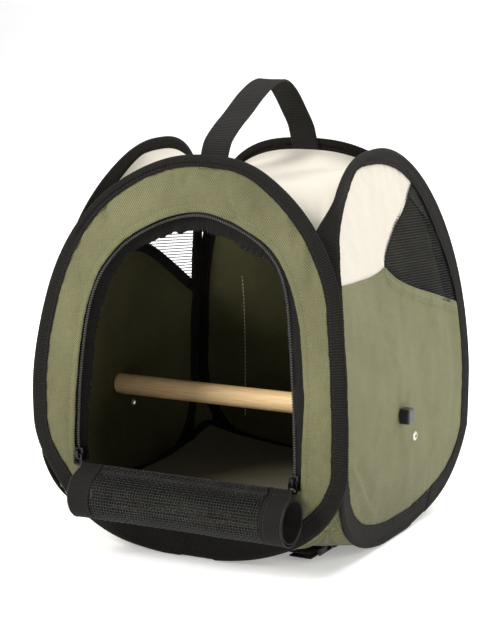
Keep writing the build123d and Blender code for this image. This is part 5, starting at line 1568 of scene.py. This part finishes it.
# ------------------------------------------------------------------ handle
def handle():
    zs = np.array([300.5, 306.0, 311.0, 316.0])
    foot = [(-(float(n_fb(z)) - 4.3), z) for z in zs]
    foot2 = [(float(n_fb(z)) - 4.3, z) for z in zs[::-1]]
    mid = [(-78.9, 320.0), (-76.0, 327.2), (-60.0, 338.0), (-39.0, 348.5), (-16.0, 361.0), (6.0, 369.2), (24.0, 370.2),
           (42.0, 361.0), (60.0, 344.5), (75.3, 328.4), (78.9, 320.0)]
    line = smooth_open(catmull(foot + mid + foot2, 14), RIB / 3, 60)
    n = len(line)
    s = np.arange(n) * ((RIB / 3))
    L = s[-1]
    nn = normals2(line)
    if nn[n // 2, 1] < 0:
        nn = -nn
    # webbing: flat with firm rounded edges, two shallow grooves, ribs across
    t = np.linspace(-1, 1, 25)
    hw = STRAP_W / 2
    roll = 0.5 * vnoise(s / 60.0, 0.5, 191)
    prof = 1.02 - 0.75 * np.clip((np.abs(t) - 0.90) / 0.10, 0, 1) ** 2 + 0.10 * np.exp(-((np.abs(t) - 0.86) / 0.05) ** 2)
    prof = prof - 0.12 * np.exp(-((np.abs(t) - 0.72) / 0.04) ** 2)
    rib = 0.15 * np.cos(2 * math.pi * s / RIB)[:, None] * (1 - 0.6 * (np.abs(t) > 0.93))[None]
    belly = 0.35 * fbm(s[:, None] / 30.0, t[None] * 0.9, 192) + 0.5 * (t[None] ** 2 - 0.3) * np.sin(s / L * math.pi)[:, None] ** 2
    width = hw * (1 + 0.012 * vnoise(s / 19.0, 0.2, 193))
    X = t[None] * width[:, None]

    def surf(h):
        return np.stack([X, line[:, None, 0] + nn[:, None, 0] * h, line[:, None, 1] + nn[:, None, 1] * h + roll[:, None] * t[None] * 0.5], -1)
    top, bot = surf(belly + prof[None] + rib), surf(belly - prof[None] - rib)
    m = len(t)
    N = n * m
    g = grid_faces(n, m)
    i, j = np.arange(n - 1), np.arange(m - 1)
    o = (n - 1) * m
    r1 = np.stack([i * m, (i + 1) * m, (i + 1) * m + N, i * m + N], 1)
    r2 = np.stack([i * m + m - 1 + N, (i + 1) * m + m - 1 + N, (i + 1) * m + m - 1, i * m + m - 1], 1)
    r3 = np.stack([j + N, j + 1 + N, j + 1, j], 1)
    r4 = np.stack([o + j, o + j + 1, o + j + 1 + N, o + j + N], 1)
    quads = np.vstack([g[:, ::-1], g + N, r1, r2, r3, r4])
    a, b, c = top[n // 2, 3], top[n // 2 + 1, 3], top[n // 2, 4]
    if np.cross(b - a, c - a)[2] > 0:
        quads = quads[:, ::-1]
    uv = np.stack([np.repeat(s[:, None], m, 1), X], -1).reshape(-1, 2) * 0.001
    ob = make_mesh("handle_webbing", np.concatenate([top.reshape(-1, 3), bot.reshape(-1, 3)]), quads, uv=np.vstack([uv, uv]), mats=[WEBBING])
    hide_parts("carry_handle", "handle_tab_front", "handle_tab_back")
    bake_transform(ob)
    # box stitches that hold its ends to the hoops, seen on the hoops' outer faces
    pile = Pile()
    for side in ("front", "back"):
        for x0, z0, x1, z1 in ((-10, 307.6, 10, 307.6), (-10, 313.6, 10, 313.6), (-10, 307.6, -10, 313.6), (10, 307.6, 10, 313.6)):
            u = np.linspace(x0, x1, 40)
            z = np.linspace(z0, z1, 40)
            stitches(pile, place(side, u, z, -0.25), OUT[side], 1.9, 0.6, 0.24)
    st = pile.make("handle_thread", [THREAD_BLACK])
    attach(st, "carrier")


handle()


# ------------------------------------------------------------------ strap under the base
def webbing_run(name, pts, body, node, width=20.0, thick=1.1):
    line = smooth_open(catmull(pts, 12), RIB / 3, 10)
    nn = normals2(line)
    c = np.column_stack([np.full(len(line), BUCKLE_X), line])
    out = np.column_stack([np.zeros(len(line)), nn])
    ac = np.broadcast_to(np.array([1.0, 0, 0]), c.shape)
    pile = Pile()
    strip_solid(pile, c, ac, out, width / 2, width / 2, thick, cols=15, ribamp=0.09, wav=lambda s, w: 0.12 * vnoise(s / 12.0, w / 7.0, 201))
    ob = pile.make(name, [WEBBING])
    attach(ob, body)
    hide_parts(node)


SB = BUCKLE_Y - 26.0 + 2.6
webbing_run("strap_fixed", [(-101.0, 8.8), (-94.2, 7.45), (SB - 1.2, 7.2), (SB + 0.7, 6.6), (SB + 1.0, 5.3), (SB + 0.7, 3.95), (SB - 1.6, 3.4), (-96.0, 3.4)], "carrier", "fold_strap_front")
PB = BUCKLE_Y + 10.1
webbing_run("strap_free", [(0.0, 0.85), (-18.0, 5.8), (-34.0, 7.15), (PB + 1.2, 7.2), (PB - 0.7, 6.6), (PB - 1.0, 5.3), (PB - 0.7, 3.95), (PB + 1.6, 3.4), (-36.0, 3.4)], "prong", "fold_strap_rear")

# ------------------------------------------------------------------ CAD pieces that keep their shape
for node, mat in (("zip_slider_left", ZIP_METAL), ("zip_slider_right", ZIP_METAL), ("zip_pull_left", ZIP_METAL), ("zip_pull_right", ZIP_METAL),
                  ("perch_dowel", WOOD), ("perch_screw_left", BLACK_PLASTIC), ("perch_screw_right", BLACK_PLASTIC),
                  ("perch_plate_left", PLATE_COVER), ("perch_plate_right", PLATE_COVER), ("eyelet_left", EYELET_METAL),
                  ("eyelet_right", EYELET_METAL), ("buckle_socket", BLACK_PLASTIC), ("buckle_prong", BLACK_PLASTIC)):
    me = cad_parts[node].data
    me.materials.clear()
    me.materials.append(mat)


# ------------------------------------------------------------------ floor, light
def area_light(name, loc, target, size, power, color=(1, 1, 1), size_y=None):
    li = bpy.data.lights.new(name, "AREA")
    li.shape = "RECTANGLE"
    li.size, li.size_y = size, size_y or size
    li.energy = power
    li.color = color
    ob = bpy.data.objects.new(name, li)
    bpy.context.scene.collection.objects.link(ob)
    ob.location = loc
    ob.rotation_mode = "QUATERNION"
    ob.rotation_quaternion = (Vector(target) - Vector(loc)).to_track_quat("-Z", "Y")
    return ob


def studio():
    # a floor that curves up behind, far off
    n = 40
    prof = [(-12.0, 0.0), (2.6, 0.0)] + [(2.6 + 1.6 * math.sin(a), 1.6 - 1.6 * math.cos(a)) for a in np.linspace(0.1, math.pi / 2, 12)] + [(4.2, 3.8)]
    co = []
    for y, z in prof:
        for x in (-14.0, 14.0):
            co.append((x * 1000, y * 1000, z * 1000 - 0.2))
    q = [[2 * i, 2 * i + 1, 2 * i + 3, 2 * i + 2] for i in range(len(prof) - 1)]
    m = Mat("floor_white", Roughness=0.9, Specular_IOR_Level=0.1)
    g = m.noise(m.obj, 6.0, 2.0)
    m.color(m.mix(g, (0.93, 0.93, 0.93), (0.955, 0.955, 0.955)))
    m.bsdf.inputs["Emission Color"].default_value = (1, 1, 1, 1)
    m.bsdf.inputs["Emission Strength"].default_value = GLOW
    fl = make_mesh("floor", co, q, mats=[m.m])
    w = bpy.data.worlds.new("studio")
    bpy.context.scene.world = w
    w.use_nodes = True
    w.node_tree.nodes["Background"].inputs[0].default_value = (1, 1, 1, 1)
    w.node_tree.nodes["Background"].inputs[1].default_value = WORLD
    c = (0, 0, 0.17)
    area_light("key", (-1.15, -1.62, 1.46), c, 1.0, KEY, (1.0, 0.985, 0.96))
    area_light("fill", (2.1, -0.35, 1.0), c, 1.1, FILL, (1.0, 0.99, 0.965))
    area_light("top", (0.1, 0.2, 2.0), c, 1.4, TOP)
    area_light("back", (0.4, 1.1, 1.7), (0, 0.05, 0.25), 1.3, BACK)
    area_light("sweep", (0.3, 2.0, 1.6), (0, 3.1, 0.2), 1.6, SWEEP)
    vs = bpy.context.scene.view_settings
    vs.view_transform = "Standard"
    vs.look = "None"
    vs.exposure = 0.0
    vs.gamma = 1.0


WORLD, KEY, FILL, TOP, BACK, SWEEP, GLOW = 0.35, 57.0, 22.5, 15.0, 31.0, 34.0, 0.28
studio()
